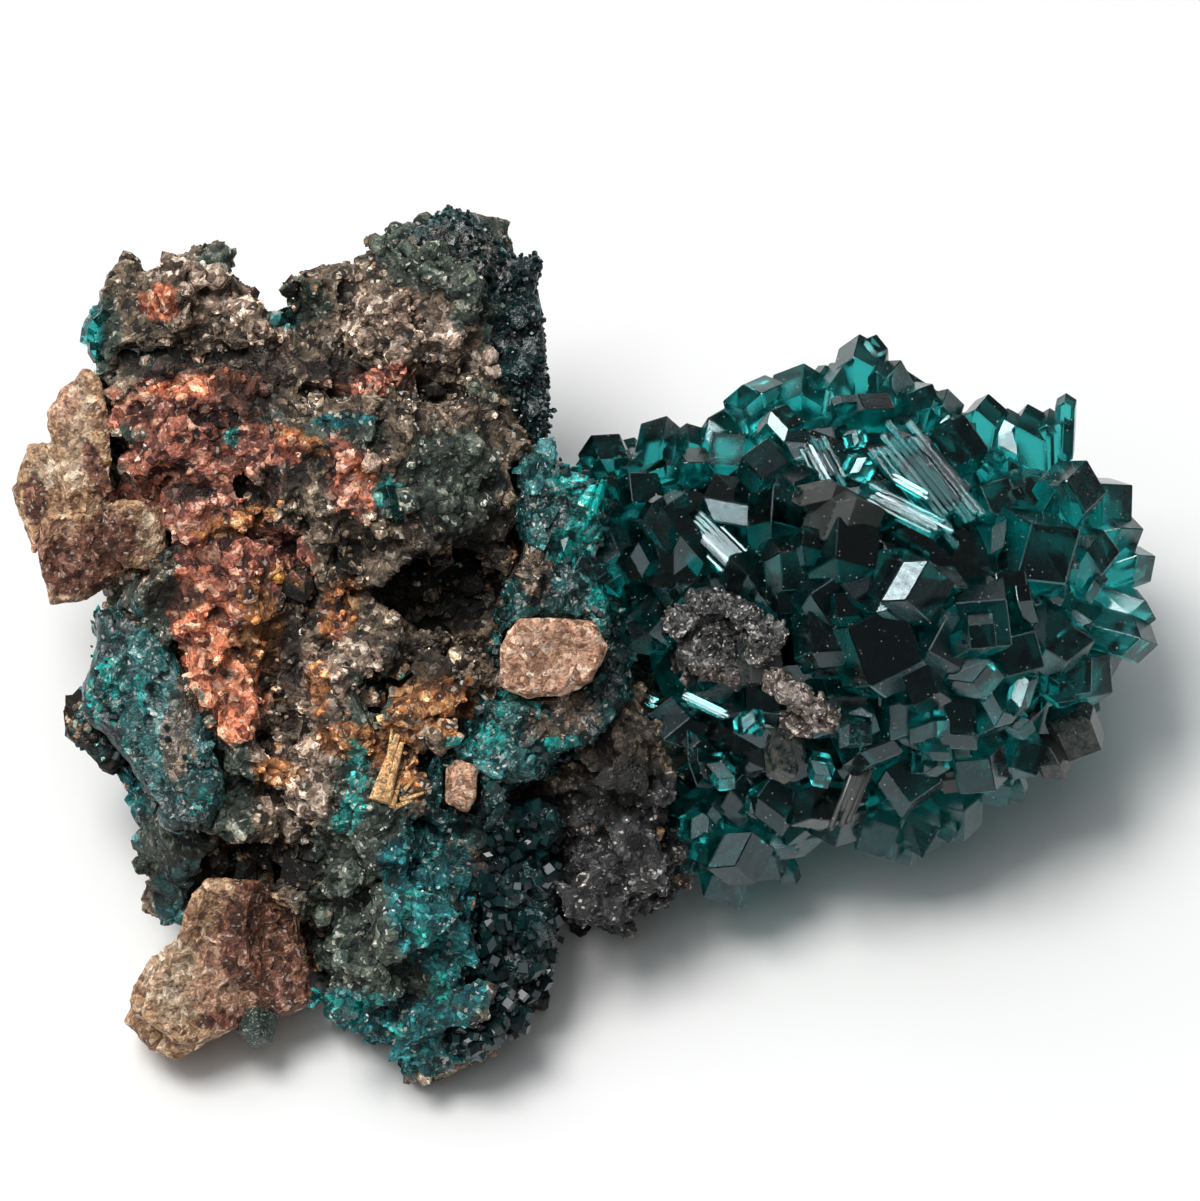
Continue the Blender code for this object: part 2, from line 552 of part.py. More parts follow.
def rock_body():
    """The body of the rock: the outline on the show face, carried back and down to the ground."""
    form = bmesh.new()
    front = [form.verts.new(place(x, y, ROCK_FRONT)) for x, y in ROCK_OUTLINE]
    face = form.faces.new(front)
    moved = bmesh.ops.extrude_face_region(form, geom=[face])["geom"]
    waist_x, waist = ROCK_WAIST
    ups = [(SHOW_CENTRE[1] - y) for _, y in ROCK_OUTLINE]
    for corner in [part for part in moved if isinstance(part, bmesh.types.BMVert)]:
        up = (corner.co - SHOW_MIDDLE).dot(FACE_UP) / STEP
        share = (up - min(ups)) / (max(ups) - min(ups))
        slope = ROCK_BACK_SLOPES[0] * (1 - share) + ROCK_BACK_SLOPES[1] * share
        low = corner.co.z + 1 * MM
        x = waist_x * MM + (corner.co.x - waist_x * MM) * waist
        corner.co = Vector((x, corner.co.y + slope * low, corner.co.z - low))
    bmesh.ops.recalc_face_normals(form, faces=form.faces)
    return object_of("rock_body", form)


def build_rock(rooms):
    """The gossan: its body, lumps and slabs run together, eaten into, weathered, and trimmed flat below."""
    first = rock_body()
    lumps = [lump(name, spec, facets=3) for name, spec in ROCK_LUMPS.items()]
    for name, (centre, half) in ROCK_SLABS.items():
        lumps.append(ball(name, Vector(centre) * MM, half, Matrix.Identity(3), facets=3))
    boolean(first, "UNION", gathered("rock_lumps", lumps))
    hollows = [lump(name, spec, facets=3) for name, spec in ROCK_HOLLOWS.items()]
    boolean(first, "DIFFERENCE", gathered("rock_hollows", hollows))
    grain = first.modifiers.new("grain", "REMESH")
    grain.mode = "VOXEL"
    grain.voxel_size = ROCK_GRAIN
    worn = first.modifiers.new("worn", "SMOOTH")
    worn.iterations = ROCK_SMOOTHING
    for number, (scale, depth) in enumerate(ROCK_RELIEF):
        pattern = bpy.data.textures.new(f"weathering_{number}", "CLOUDS")
        pattern.noise_scale = scale
        pattern.noise_depth = 2
        pattern.noise_basis = "VORONOI_F1" if number else "BLENDER_ORIGINAL"
        relief = first.modifiers.new(f"relief_{number}", "DISPLACE")
        relief.texture = pattern
        relief.texture_coords = "LOCAL"
        relief.mid_level = 0.5
        relief.strength = depth
    fewer = first.modifiers.new("fewer_faces", "DECIMATE")
    fewer.ratio = ROCK_SHARE_OF_FACES
    for room in rooms:
        boolean(first, "DIFFERENCE", room)
    boolean(first, "DIFFERENCE", ground())
    return node("matrix", first, GOSSAN)


clear_scene()
rooms = [build_calcite(), build_cluster()]
build_crusts(rooms)
build_rock(rooms)
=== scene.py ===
import json
import math
import random

import bpy
import numpy as np
from mathutils import Matrix, Vector

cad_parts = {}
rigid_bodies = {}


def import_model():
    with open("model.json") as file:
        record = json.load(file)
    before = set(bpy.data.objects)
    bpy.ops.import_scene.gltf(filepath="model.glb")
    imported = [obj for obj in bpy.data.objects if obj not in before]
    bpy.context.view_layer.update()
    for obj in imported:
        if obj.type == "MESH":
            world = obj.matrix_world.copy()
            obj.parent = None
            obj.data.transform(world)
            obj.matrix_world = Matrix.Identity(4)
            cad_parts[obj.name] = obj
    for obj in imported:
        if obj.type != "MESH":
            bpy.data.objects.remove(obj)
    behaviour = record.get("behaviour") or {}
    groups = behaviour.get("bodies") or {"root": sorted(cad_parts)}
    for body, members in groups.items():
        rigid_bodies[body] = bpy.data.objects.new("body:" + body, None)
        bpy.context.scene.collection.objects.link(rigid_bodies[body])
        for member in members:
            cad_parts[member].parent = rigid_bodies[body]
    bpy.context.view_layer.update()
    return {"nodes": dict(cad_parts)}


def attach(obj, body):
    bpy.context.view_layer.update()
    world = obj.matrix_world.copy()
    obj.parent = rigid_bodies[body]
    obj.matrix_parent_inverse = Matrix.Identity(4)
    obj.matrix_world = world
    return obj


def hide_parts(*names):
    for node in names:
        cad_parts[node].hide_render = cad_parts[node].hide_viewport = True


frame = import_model()


# The place where the specimen stands: a pale floor, two large soft lights, a smaller bright one that the flat
# crystal faces mirror, and the camera, which looks down on the show face by 60 degrees.
# Places on the show face are read off a grid of 1140 steps to its 50 mm, x to the right and y downwards.
MM = 0.001
STEP = 50 * MM / 1140
SHOW_ANGLE = math.radians(60)
SHOW_DISTANCE = 400 * MM
SHOW_CENTRE = (600, 600)
SHOW_MIDDLE = Vector((0.8, 1.6, 11.2)) * MM
RIGHT = Vector((1, 0, 0))
UP = Vector((0, math.sin(SHOW_ANGLE), math.cos(SHOW_ANGLE)))
OUT = Vector((0, -math.cos(SHOW_ANGLE), math.sin(SHOW_ANGLE)))
FACE_TURN = Matrix((RIGHT, UP, OUT)).transposed()
EYE = SHOW_MIDDLE + OUT * SHOW_DISTANCE
PICTURE_STEPS = 1200
SENSOR_WIDTH = 36
FLOOR_WIDTH = 6.0
FLOOR_DROP = 0.05 * MM


def deselect():
    if bpy.context.object and bpy.context.object.mode != "OBJECT":
        bpy.ops.object.mode_set(mode="OBJECT")
    bpy.ops.object.select_all(action="DESELECT")


def looking(thing, at):
    thing.rotation_euler = (at - thing.location).to_track_quat("-Z", "Y").to_euler()


def soft_light(name, place, size, power, colour):
    bpy.ops.object.light_add(type="AREA", location=place)
    light = bpy.context.object
    light.name = name
    light.data.shape = "RECTANGLE"
    light.data.size, light.data.size_y = size
    light.data.energy = power
    light.data.color = colour
    looking(light, SHOW_MIDDLE)


deselect()
bpy.ops.mesh.primitive_plane_add(size=FLOOR_WIDTH, location=(0, 0, -FLOOR_DROP))
floor = bpy.context.object
floor.name = "floor"
floor_paint = bpy.data.materials.new("floor_paint")
floor_paint.use_nodes = True
paint = floor_paint.node_tree.nodes["Principled BSDF"]
paint.inputs["Base Color"].default_value = (0.86, 0.86, 0.86, 1)
paint.inputs["Roughness"].default_value = 0.9
paint.inputs["Specular IOR Level"].default_value = 0.0
floor.data.materials.append(floor_paint)

KEY_PLACE = SHOW_MIDDLE + UP * 0.27 + OUT * 0.50 - RIGHT * 0.16
soft_light("key", KEY_PLACE, (0.22, 0.22), 2.6, (1.0, 0.98, 0.95))
soft_light("panel", KEY_PLACE + UP * 0.05 + OUT * 0.06, (0.75, 0.65), 2.3, (0.93, 0.98, 1.0))
soft_light("sky", SHOW_MIDDLE + UP * 0.75 + OUT * 0.55 - RIGHT * 0.3, (1.0, 0.8), 1.1, (0.93, 0.97, 1.0))

world = bpy.data.worlds.new("studio")
bpy.context.scene.world = world
world.use_nodes = True
backdrop = world.node_tree.nodes["Background"]
backdrop.inputs["Color"].default_value = (0.95, 0.98, 1.0, 1)
backdrop.inputs["Strength"].default_value = 0.13
bpy.context.scene.view_settings.view_transform = "Standard"

bpy.ops.object.camera_add(location=EYE)
camera = bpy.context.object
camera.name = "camera"
camera.data.sensor_fit = "HORIZONTAL"
camera.data.sensor_width = SENSOR_WIDTH
camera.data.lens = SENSOR_WIDTH * SHOW_DISTANCE / (PICTURE_STEPS * STEP)
camera.data.clip_start, camera.data.clip_end = 0.01, 10
camera.rotation_euler = (math.radians(90) - SHOW_ANGLE, 0, 0)
bpy.context.scene.camera = camera


# The matrix: a lump of gossan, which is rusted, half-dissolved rock, grown together from gravel-sized grains.
# Here the solid is given its broken lumps, then grains that are fused on, and then its pits and fine grain.
# Its colours lie in patches: brick red and orange iron oxides, tan grains, green copper stains, and
# near-black painted shade in the hollows, under the overhangs and in the gaps.
ROCK_GRAIN = 0.17 * MM
ROCK_TRIANGLES = 190_000
# The grains that are fused on: how many to the square mm, their smallest and largest radius in mm, the seed.
ROCK_SHARDS = (
    ("coarse_shards", 0.10, (0.6, 1.4), 3),
    ("fine_shards", 0.28, (0.2, 0.5), 7),
)
ROCK_RELIEF = (
    ("CLOUDS", 3.2, 0.65, 0.5),
    ("CRAGS", 2.6, 0.55, 1.0),
    ("VORONOI", 1.6, 0.3, 0.4),
    ("STEPS", 0.62, 0.32, 0.4),
    ("CLOUDS", 0.42, 0.28, 0.5),
)
# Extra lumps: place on the grid, out, half sizes in mm, roll.
ROCK_LUMPS = {
    "knob_block": (164, 304, 2.2, (1.0, 1.1, 0.9), 30),
    "knob_ridge": (208, 284, 1.0, (1.3, 0.7, 1.2), -30),
    "knob_side": (232, 318, 0.8, (1.0, 1.0, 1.2), 0),
    "knob_brim": (140, 345, 1.2, (1.4, 0.6, 1.2), 12),
    "red_ledge_top": (170, 378, 2.6, (2.6, 0.7, 1.4), 8),
    "red_ledge": (205, 402, 3.4, (2.4, 0.8, 1.4), 6),
    "red_brow": (185, 448, 4.0, (2.2, 1.0, 1.4), -12),
    "red_shelf": (228, 470, 4.2, (1.8, 0.7, 1.3), 20),
    "saddle_grain": (268, 340, 1.6, (1.0, 0.9, 1.0), 0),
    "saddle_step": (300, 372, 1.8, (1.4, 0.7, 1.0), -16),
    "saddle_lump": (322, 298, 0.4, (1.5, 1.5, 1.4), 10),
    "tower_gravel": (398, 312, 2.6, (1.3, 1.0, 1.1), 0),
    "tower_gravel_low": (432, 350, 3.2, (1.2, 0.9, 1.1), 24),
    "tower_face": (458, 308, 3.0, (1.0, 1.4, 0.9), 10),
    "boulder_brow": (356, 408, 5.4, (2.2, 0.7, 1.4), 4),
    "boulder_cheek": (300, 440, 5.2, (1.3, 1.5, 1.3), 10),
    "boulder_nose": (352, 452, 6.6, (1.0, 1.3, 1.0), 20),
    "boulder_chin": (420, 520, 6.0, (2.0, 0.9, 1.3), -8),
    "boulder_side": (462, 452, 5.4, (1.4, 1.6, 1.3), 0),
    "boulder_lip": (366, 560, 5.0, (1.9, 0.9, 1.2), 16),
    "red_lump": (208, 520, 4.4, (1.5, 1.2, 1.2), 0),
    "red_lump_low": (246, 566, 4.8, (1.6, 1.1, 1.2), -20),
    "red_edge": (205, 610, 4.6, (0.9, 1.7, 1.1), 8),
    "tongue_rib": (206, 668, 4.8, (0.8, 1.8, 1.0), 12),
    "tongue_tip": (246, 716, 4.8, (0.9, 1.1, 1.0), -8),
    "pit_wall": (318, 560, 4.6, (1.1, 1.4, 1.2), 0),
    "pit_sill": (372, 652, 4.4, (1.4, 1.0, 1.2), 10),
    "pit_floor": (430, 640, 3.0, (1.1, 0.8, 1.0), 0),
    "rust_step": (436, 688, 4.6, (1.5, 0.9, 1.1), 20),
    "rust_step_low": (408, 728, 4.6, (1.2, 0.9, 1.0), 0),
    "column_top": (346, 716, 4.6, (1.1, 1.8, 1.2), 4),
    "column_rib": (380, 826, 4.6, (1.0, 2.2, 1.2), 6),
    "column_side": (318, 800, 3.6, (0.9, 1.8, 1.1), -6),
    "column_low": (400, 920, 4.8, (1.2, 1.8, 1.2), 16),
    "column_heel": (372, 980, 4.0, (1.2, 1.4, 1.1), 0),
    "column_toe": (440, 1018, 3.6, (1.6, 0.8, 1.1), -6),
    "flank_brow": (196, 776, 2.8, (1.3, 0.9, 1.1), 0),
    "foot_shelf": (238, 812, 2.6, (1.6, 0.7, 1.2), -14),
    "grey_lump": (640, 862, 3.4, (1.2, 1.6, 1.2), 0),
    "grey_lump_low": (604, 900, 2.4, (1.2, 1.1, 1.1), 0),
}
# The hollows, on the same grid: place, half sizes in steps, depth in mm.
ROCK_DENTS = (
    (450, 592, 60, 44, 1.5), (265, 868, 66, 26, 1.3), (355, 560, 26, 20, 0.8), (180, 352, 70, 14, 0.9),
    (322, 470, 14, 26, 0.7), (250, 500, 20, 14, 0.6), (318, 392, 26, 10, 0.8), (424, 392, 60, 9, 0.7),
    (300, 590, 18, 30, 0.8), (372, 690, 16, 26, 0.7), (470, 660, 24, 26, 0.9), (270, 690, 14, 40, 0.7),
    (84, 730, 40, 100, 0.9), (310, 850, 16, 40, 0.8), (290, 290, 14, 20, 0.7), (346, 300, 10, 30, 0.6),
    (230, 420, 30, 10, 0.6),
)
# The patches of colour, as ellipses on the same grid: x, y, half sizes in steps, roll.
ROCK_COLOURS = {
    "brick": (
        (190, 400, 78, 34, 8), (228, 448, 62, 46, 0), (176, 460, 50, 42, 0), (222, 520, 58, 52, 0),
        (262, 560, 50, 40, 0), (214, 600, 34, 60, 8), (350, 480, 22, 46, 12), (372, 378, 48, 14, 10),
        (150, 500, 40, 18, -8), (338, 616, 18, 26, 0),
    ),
    "orange": (
        (206, 640, 30, 70, 10), (238, 704, 26, 40, -10), (290, 448, 12, 18, 0), (182, 618, 14, 22, 0),
        (196, 384, 60, 10, 10), (366, 480, 12, 26, 20), (160, 302, 20, 18, 20),
    ),
    "rust": (
        (438, 700, 46, 30, -10), (400, 752, 22, 44, 10), (278, 577, 10, 9, 0), (328, 618, 9, 26, 0),
        (280, 770, 22, 16, 0), (440, 230, 12, 7, 0), (300, 440, 30, 12, -20), (536, 566, 8, 22, 20),
        (240, 520, 40, 12, 20), (262, 640, 24, 60, 0), (350, 740, 30, 20, 0), (318, 690, 12, 30, 10),
        (348, 600, 12, 26, 0), (520, 545, 9, 18, 0),
    ),
    "tan": (
        (366, 322, 34, 26, 0), (404, 322, 26, 34, 0), (215, 300, 44, 34, 0), (262, 346, 30, 26, 0),
        (490, 360, 14, 16, 0), (505, 498, 9, 9, 0), (372, 462, 16, 16, 0), (366, 656, 26, 20, 0),
        (316, 690, 40, 40, 0), (456, 412, 40, 12, 0), (470, 340, 14, 20, 0), (298, 750, 40, 50, 0),
        (170, 268, 30, 12, 0), (434, 336, 20, 36, 0), (300, 800, 30, 40, 0),
    ),
    "green": (
        (96, 336, 24, 44, 0), (272, 452, 16, 50, 0), (338, 436, 44, 20, 8), (388, 498, 20, 22, 0),
        (140, 440, 20, 24, 0), (150, 700, 60, 120, 0), (360, 700, 40, 60, 0), (352, 810, 60, 120, 0),
        (400, 950, 90, 120, 12), (500, 300, 50, 90, 0), (90, 420, 14, 60, 0), (160, 840, 60, 40, 0),
        (220, 780, 40, 60, 0), (226, 262, 30, 20, 0), (300, 300, 30, 22, 0), (470, 600, 30, 14, 0),
        (425, 245, 60, 44, 0), (452, 480, 50, 60, 0), (210, 410, 14, 14, 0), (278, 540, 16, 20, 0),
    ),
    "deep_teal": (
        (456, 930, 34, 90, 6), (396, 1036, 90, 40, 0), (338, 1012, 40, 24, 0), (120, 720, 40, 110, 0),
        (180, 900, 26, 40, 0), (420, 860, 40, 30, 0), (476, 820, 40, 30, 0),
        (92, 330, 14, 24, 0), (286, 320, 16, 12, 0), (600, 560, 20, 60, 0), (345, 420, 30, 8, 0),
        (280, 450, 8, 40, 0), (438, 900, 44, 90, 8), (80, 730, 34, 110, 0),
    ),
    "turquoise": (
        (90, 330, 12, 24, 0), (386, 494, 16, 16, 0), (350, 812, 22, 12, 60), (356, 770, 12, 28, 0),
        (424, 938, 9, 16, 40), (366, 1004, 24, 7, 20), (440, 986, 12, 16, 0), (330, 1004, 12, 9, 0),
        (408, 902, 6, 16, -20), (396, 1030, 12, 8, 0), (460, 744, 16, 8, 0), (232, 436, 8, 10, 0),
    ),
    "slate": ((630, 850, 90, 90, 0), (590, 900, 60, 60, 0), (540, 990, 50, 90, 20)),
    # The dark patches are painted shade under the overhangs, in the hollows and in the gaps, and partly the
    # dark rock round the lower druse.
    "dark": (
        (440, 590, 62, 46, -8), (190, 362, 70, 12, 6), (250, 868, 70, 26, 0), (512, 820, 60, 30, 20),
        (250, 380, 40, 40, 0), (480, 540, 50, 30, 30), (270, 486, 30, 20, 0), (186, 492, 28, 10, 0),
        (176, 596, 30, 16, 0), (196, 880, 50, 34, 0), (290, 660, 12, 40, 0), (520, 930, 40, 110, 10),
        (136, 356, 30, 10, 14), (330, 372, 40, 12, 0), (620, 760, 40, 60, 0), (420, 660, 40, 26, 0),
    ),
}


def on_show(x, y, out):
    """The point at this distance out of the show face that the eye sees at (x, y) of the grid."""
    right, up = (x - SHOW_CENTRE[0]) * STEP, (SHOW_CENTRE[1] - y) * STEP
    return SHOW_MIDDLE + (RIGHT * right + UP * up) * (1 - out * MM / SHOW_DISTANCE) + OUT * out * MM


def pick(*things):
    deselect()
    for thing in things:
        thing.select_set(True)
    bpy.context.view_layer.objects.active = things[0]


def new_piece(name, mesh):
    piece = bpy.data.objects.new(name, mesh)
    bpy.context.scene.collection.objects.link(piece)
    return piece


def copy_of_solid(node, name):
    """A new piece with its own copy of a solid's mesh, merged."""
    piece = new_piece(name, frame["nodes"][node].data.copy())
    piece.data.materials.clear()
    pick(piece)
    bpy.ops.object.mode_set(mode="EDIT")
    bpy.ops.mesh.select_all(action="SELECT")
    bpy.ops.mesh.remove_doubles(threshold=0.000001)
    bpy.ops.mesh.normals_make_consistent(inside=False)
    bpy.ops.object.mode_set(mode="OBJECT")
    return piece


def rounded_lump(name, spec):
    x, y, out, half, roll = spec
    deselect()
    bpy.ops.mesh.primitive_ico_sphere_add(subdivisions=3, radius=1.0, location=(0, 0, 0))
    lump = bpy.context.object
    lump.name = name
    turn = FACE_TURN @ Matrix.Rotation(math.radians(roll), 3, "Z")
    size = Matrix.Diagonal(Vector(half) * MM).to_4x4()
    lump.data.transform(Matrix.Translation(on_show(x, y, out)) @ turn.to_4x4() @ size)
    return lump


def run_together(first, *rest):
    pick(first, *rest)
    bpy.ops.object.join()
    return first


def finish_modifiers(piece):
    pick(piece)
    for step in list(piece.modifiers):
        bpy.ops.object.modifier_apply(modifier=step.name)


def remeshed(piece, grain):
    step = piece.modifiers.new("grain", "REMESH")
    step.mode = "VOXEL"
    step.voxel_size = grain
    finish_modifiers(piece)


def weathered(piece, relief, smooth):
    """Smooths the surface this often, then moves it in and out by patterns of these kinds, scales and depths
    in mm, and middles. CRAGS are sharp ridges, and STEPS are the squarish steps of a cleaved surface."""
    worn = piece.modifiers.new("worn", "SMOOTH")
    worn.iterations = smooth
    for number, (kind, scale, depth, middle) in enumerate(relief):
        base = {"CRAGS": "MUSGRAVE", "STEPS": "VORONOI"}.get(kind, kind)
        pattern = bpy.data.textures.new(f"{piece.name}_{number}", base)
        pattern.noise_scale = scale * MM
        if kind == "CLOUDS":
            pattern.noise_depth = 3
        if kind == "CRAGS":
            pattern.musgrave_type = "RIDGED_MULTIFRACTAL"
            pattern.octaves = 3
        if kind == "STEPS":
            pattern.distance_metric = "CHEBYCHEV"
        step = piece.modifiers.new(pattern.name, "DISPLACE")
        step.texture = pattern
        step.texture_coords = "LOCAL"
        step.mid_level = middle
        step.strength = depth * MM
    finish_modifiers(piece)


def points_of(piece):
    points = np.empty(len(piece.data.vertices) * 3, np.float32)
    piece.data.vertices.foreach_get("co", points)
    return points.reshape(-1, 3).astype(np.float64)


def on_grid(points):
    """Where the eye sees each point on the grid, and how far it is out of the show face."""
    away = points - np.array(SHOW_MIDDLE)
    out = away @ np.array(OUT)
    nearer = 1 - out / SHOW_DISTANCE
    right, up = away @ np.array(RIGHT) / nearer / STEP, away @ np.array(UP) / nearer / STEP
    return SHOW_CENTRE[0] + right, SHOW_CENTRE[1] - up, out


DENT_REACH = 6 * MM


def dented(piece, dents):
    """Presses hollows into the piece: place on the grid, half sizes in steps, and depth in mm."""
    x, y, out = on_grid(points_of(piece))
    for number, (px, py, rx, ry, depth) in enumerate(dents):
        share = np.clip(1 - np.sqrt(((x - px) / rx) ** 2 + ((y - py) / ry) ** 2), 0, 1)
        share = np.where(out > out[share > 0].max() - DENT_REACH, share ** 0.6, 0)
        group = piece.vertex_groups.new(name=f"dent_{number}")
        for index in np.nonzero(share)[0]:
            group.add([int(index)], float(share[index]), "REPLACE")
        step = piece.modifiers.new(f"dent_{number}", "DISPLACE")
        step.vertex_group = group.name
        step.mid_level = 0
        step.strength = -depth * MM
    finish_modifiers(piece)
    piece.vertex_groups.clear()


def thinned(piece, triangles):
    have = sum(len(face.vertices) - 2 for face in piece.data.polygons)
    if have > triangles:
        step = piece.modifiers.new("thinned", "DECIMATE")
        step.ratio = triangles / have
        finish_modifiers(piece)


def one_body(piece):
    """Keeps the body that the highest point belongs to, and drops loose crumbs and bubbles."""
    pick(piece)
    top = int(points_of(piece)[:, 2].argmax())
    bpy.ops.object.mode_set(mode="EDIT")
    bpy.ops.mesh.select_all(action="DESELECT")
    bpy.ops.mesh.select_mode(type="VERT")
    bpy.ops.object.mode_set(mode="OBJECT")
    piece.data.vertices[top].select = True
    bpy.ops.object.mode_set(mode="EDIT")
    bpy.ops.mesh.select_linked()
    bpy.ops.mesh.select_all(action="INVERT")
    bpy.ops.mesh.delete(type="VERT")
    bpy.ops.object.mode_set(mode="OBJECT")


def shard(name, seed, rough=0.35):
    """One broken grain, knocked out of round."""
    deselect()
    bpy.ops.mesh.primitive_ico_sphere_add(subdivisions=1, radius=MM, location=(0, 0, 0))
    grain = bpy.context.object
    grain.name = name
    bpy.ops.object.mode_set(mode="EDIT")
    bpy.ops.mesh.select_all(action="SELECT")
    bpy.ops.transform.vertex_random(offset=rough * MM, uniform=0.0, normal=0.0, seed=seed)
    bpy.ops.object.mode_set(mode="OBJECT")
    return grain


def kept_aside(name, things):
    """A collection of grains or crystals to stand on a surface, outside the scene."""
    group = bpy.data.collections.new(name)
    for thing in things:
        for old in list(thing.users_collection):
            old.objects.unlink(thing)
        group.objects.link(thing)
    return group


def joined_nodes(tree):
    """A short way to add a node with set values and links."""
    def add(kind, links=(), **values):
        node = tree.nodes.new(kind)
        for key, value in values.items():
            if key.startswith("in_"):
                name = key[3:].replace("_", " ")
                socket = node.inputs[int(name)] if name.isdigit() else node.inputs[name]
                socket.default_value = value
            else:
                setattr(node, key, value)
        for source, target in links:
            tree.links.new(source, node.inputs[target])
        return node
    return add


def grown_over(piece, group, per_mm2, sizes, seed, upright=None, where=None, keep=True):
    """Stands the things in the group all over the piece, as real mesh. With upright, they point away from the
    surface and lean by up to that many radians; else they lie at random. where is an attribute of the piece.
    Without keep, only they stay of it. The group and what is in it are used up."""
    per_square_metre = per_mm2 / MM ** 2
    reach = math.pi if upright is None else upright
    tree = bpy.data.node_groups.new(f"{piece.name}_{group.name}", "GeometryNodeTree")
    tree.interface.new_socket("Surface", in_out="INPUT", socket_type="NodeSocketGeometry")
    tree.interface.new_socket("Surface", in_out="OUTPUT", socket_type="NodeSocketGeometry")
    add, link = joined_nodes(tree), tree.links.new
    start, end = add("NodeGroupInput"), add("NodeGroupOutput")
    spread = add("GeometryNodeDistributePointsOnFaces", [(start.outputs[0], "Mesh")],
                 in_Density=per_square_metre, in_Seed=seed)
    if where:
        named = add("GeometryNodeInputNamedAttribute", data_type="FLOAT", in_Name=where)
        scaled = add("ShaderNodeMath", [(named.outputs["Attribute"], 0)], operation="MULTIPLY",
                     in_1=per_square_metre)
        link(scaled.outputs[0], spread.inputs["Density"])
    stock = add("GeometryNodeCollectionInfo", in_Collection=group, in_Separate_Children=True,
                in_Reset_Children=True)
    size = add("FunctionNodeRandomValue", data_type="FLOAT", in_2=sizes[0], in_3=sizes[1], in_Seed=seed + 1)
    stand = add("GeometryNodeInstanceOnPoints", [
        (spread.outputs["Points"], "Points"), (stock.outputs[0], "Instance"), (size.outputs[1], "Scale")],
        in_Pick_Instance=True)
    if upright is not None:
        link(spread.outputs["Rotation"], stand.inputs["Rotation"])
    lean = add("FunctionNodeRandomValue", data_type="FLOAT_VECTOR", in_0=(-reach, -reach, -math.pi),
               in_1=(reach, reach, math.pi), in_Seed=seed + 2)
    turned = add("GeometryNodeRotateInstances", [
        (stand.outputs[0], "Instances"), (lean.outputs[0], "Rotation")], in_Local_Space=True)
    each = add("FunctionNodeRandomValue", in_Seed=seed + 3)
    tint = add("GeometryNodeStoreNamedAttribute", [
        (turned.outputs[0], "Geometry"), (each.outputs[1], "Value")], data_type="FLOAT", domain="INSTANCE",
        in_Name="tint")
    real = add("GeometryNodeRealizeInstances", [(tint.outputs[0], 0)])
    if keep:
        both = add("GeometryNodeJoinGeometry", [(start.outputs[0], 0), (real.outputs[0], 0)])
        link(both.outputs[0], end.inputs[0])
    else:
        link(real.outputs[0], end.inputs[0])
    step = piece.modifiers.new("grown", "NODES")
    step.node_group = tree
    finish_modifiers(piece)
    bpy.data.node_groups.remove(tree)
    for thing in list(group.objects):
        bpy.data.objects.remove(thing)
    bpy.data.collections.remove(group)


def coloured(piece, patches, back_share=0.25, least=0.0):
    """Writes how much of each colour a point has, from the patches. The hidden side gets some all over."""
    x, y, out = on_grid(points_of(piece))
    normals = np.empty(len(piece.data.vertices) * 3, np.float32)
    piece.data.vertices.foreach_get("normal", normals)
    facing = normals.reshape(-1, 3).astype(np.float64) @ np.array(OUT)
    front = np.clip(facing * 2.5 + 1.0, 0, 1)
    for name, ellipses in patches.items():
        share = np.zeros(len(x))
        for px, py, rx, ry, roll in ellipses:
            c, s = math.cos(math.radians(roll)), math.sin(math.radians(roll))
            across, down = (x - px) * c - (y - py) * s, (x - px) * s + (y - py) * c
            away = np.sqrt((across / rx) ** 2 + (down / ry) ** 2)
            share = np.maximum(share, np.clip(1.5 - away, 0, 1))
        share = least + (1 - least) * (share * front + back_share * (1 - front))
        layer = piece.data.attributes.new(name, "FLOAT", "POINT")
        layer.data.foreach_set("value", share.astype(np.float32))


def shader_group(name, inputs, outputs):
    tree = bpy.data.node_groups.new(name, "ShaderNodeTree")
    for label, kind, value in inputs:
        socket = tree.interface.new_socket(label, in_out="INPUT", socket_type=kind)
        if value is not None:
            socket.default_value = value
    for label, kind in outputs:
        tree.interface.new_socket(label, in_out="OUTPUT", socket_type=kind)
    return tree, joined_nodes(tree), tree.nodes.new("NodeGroupInput"), tree.nodes.new("NodeGroupOutput")


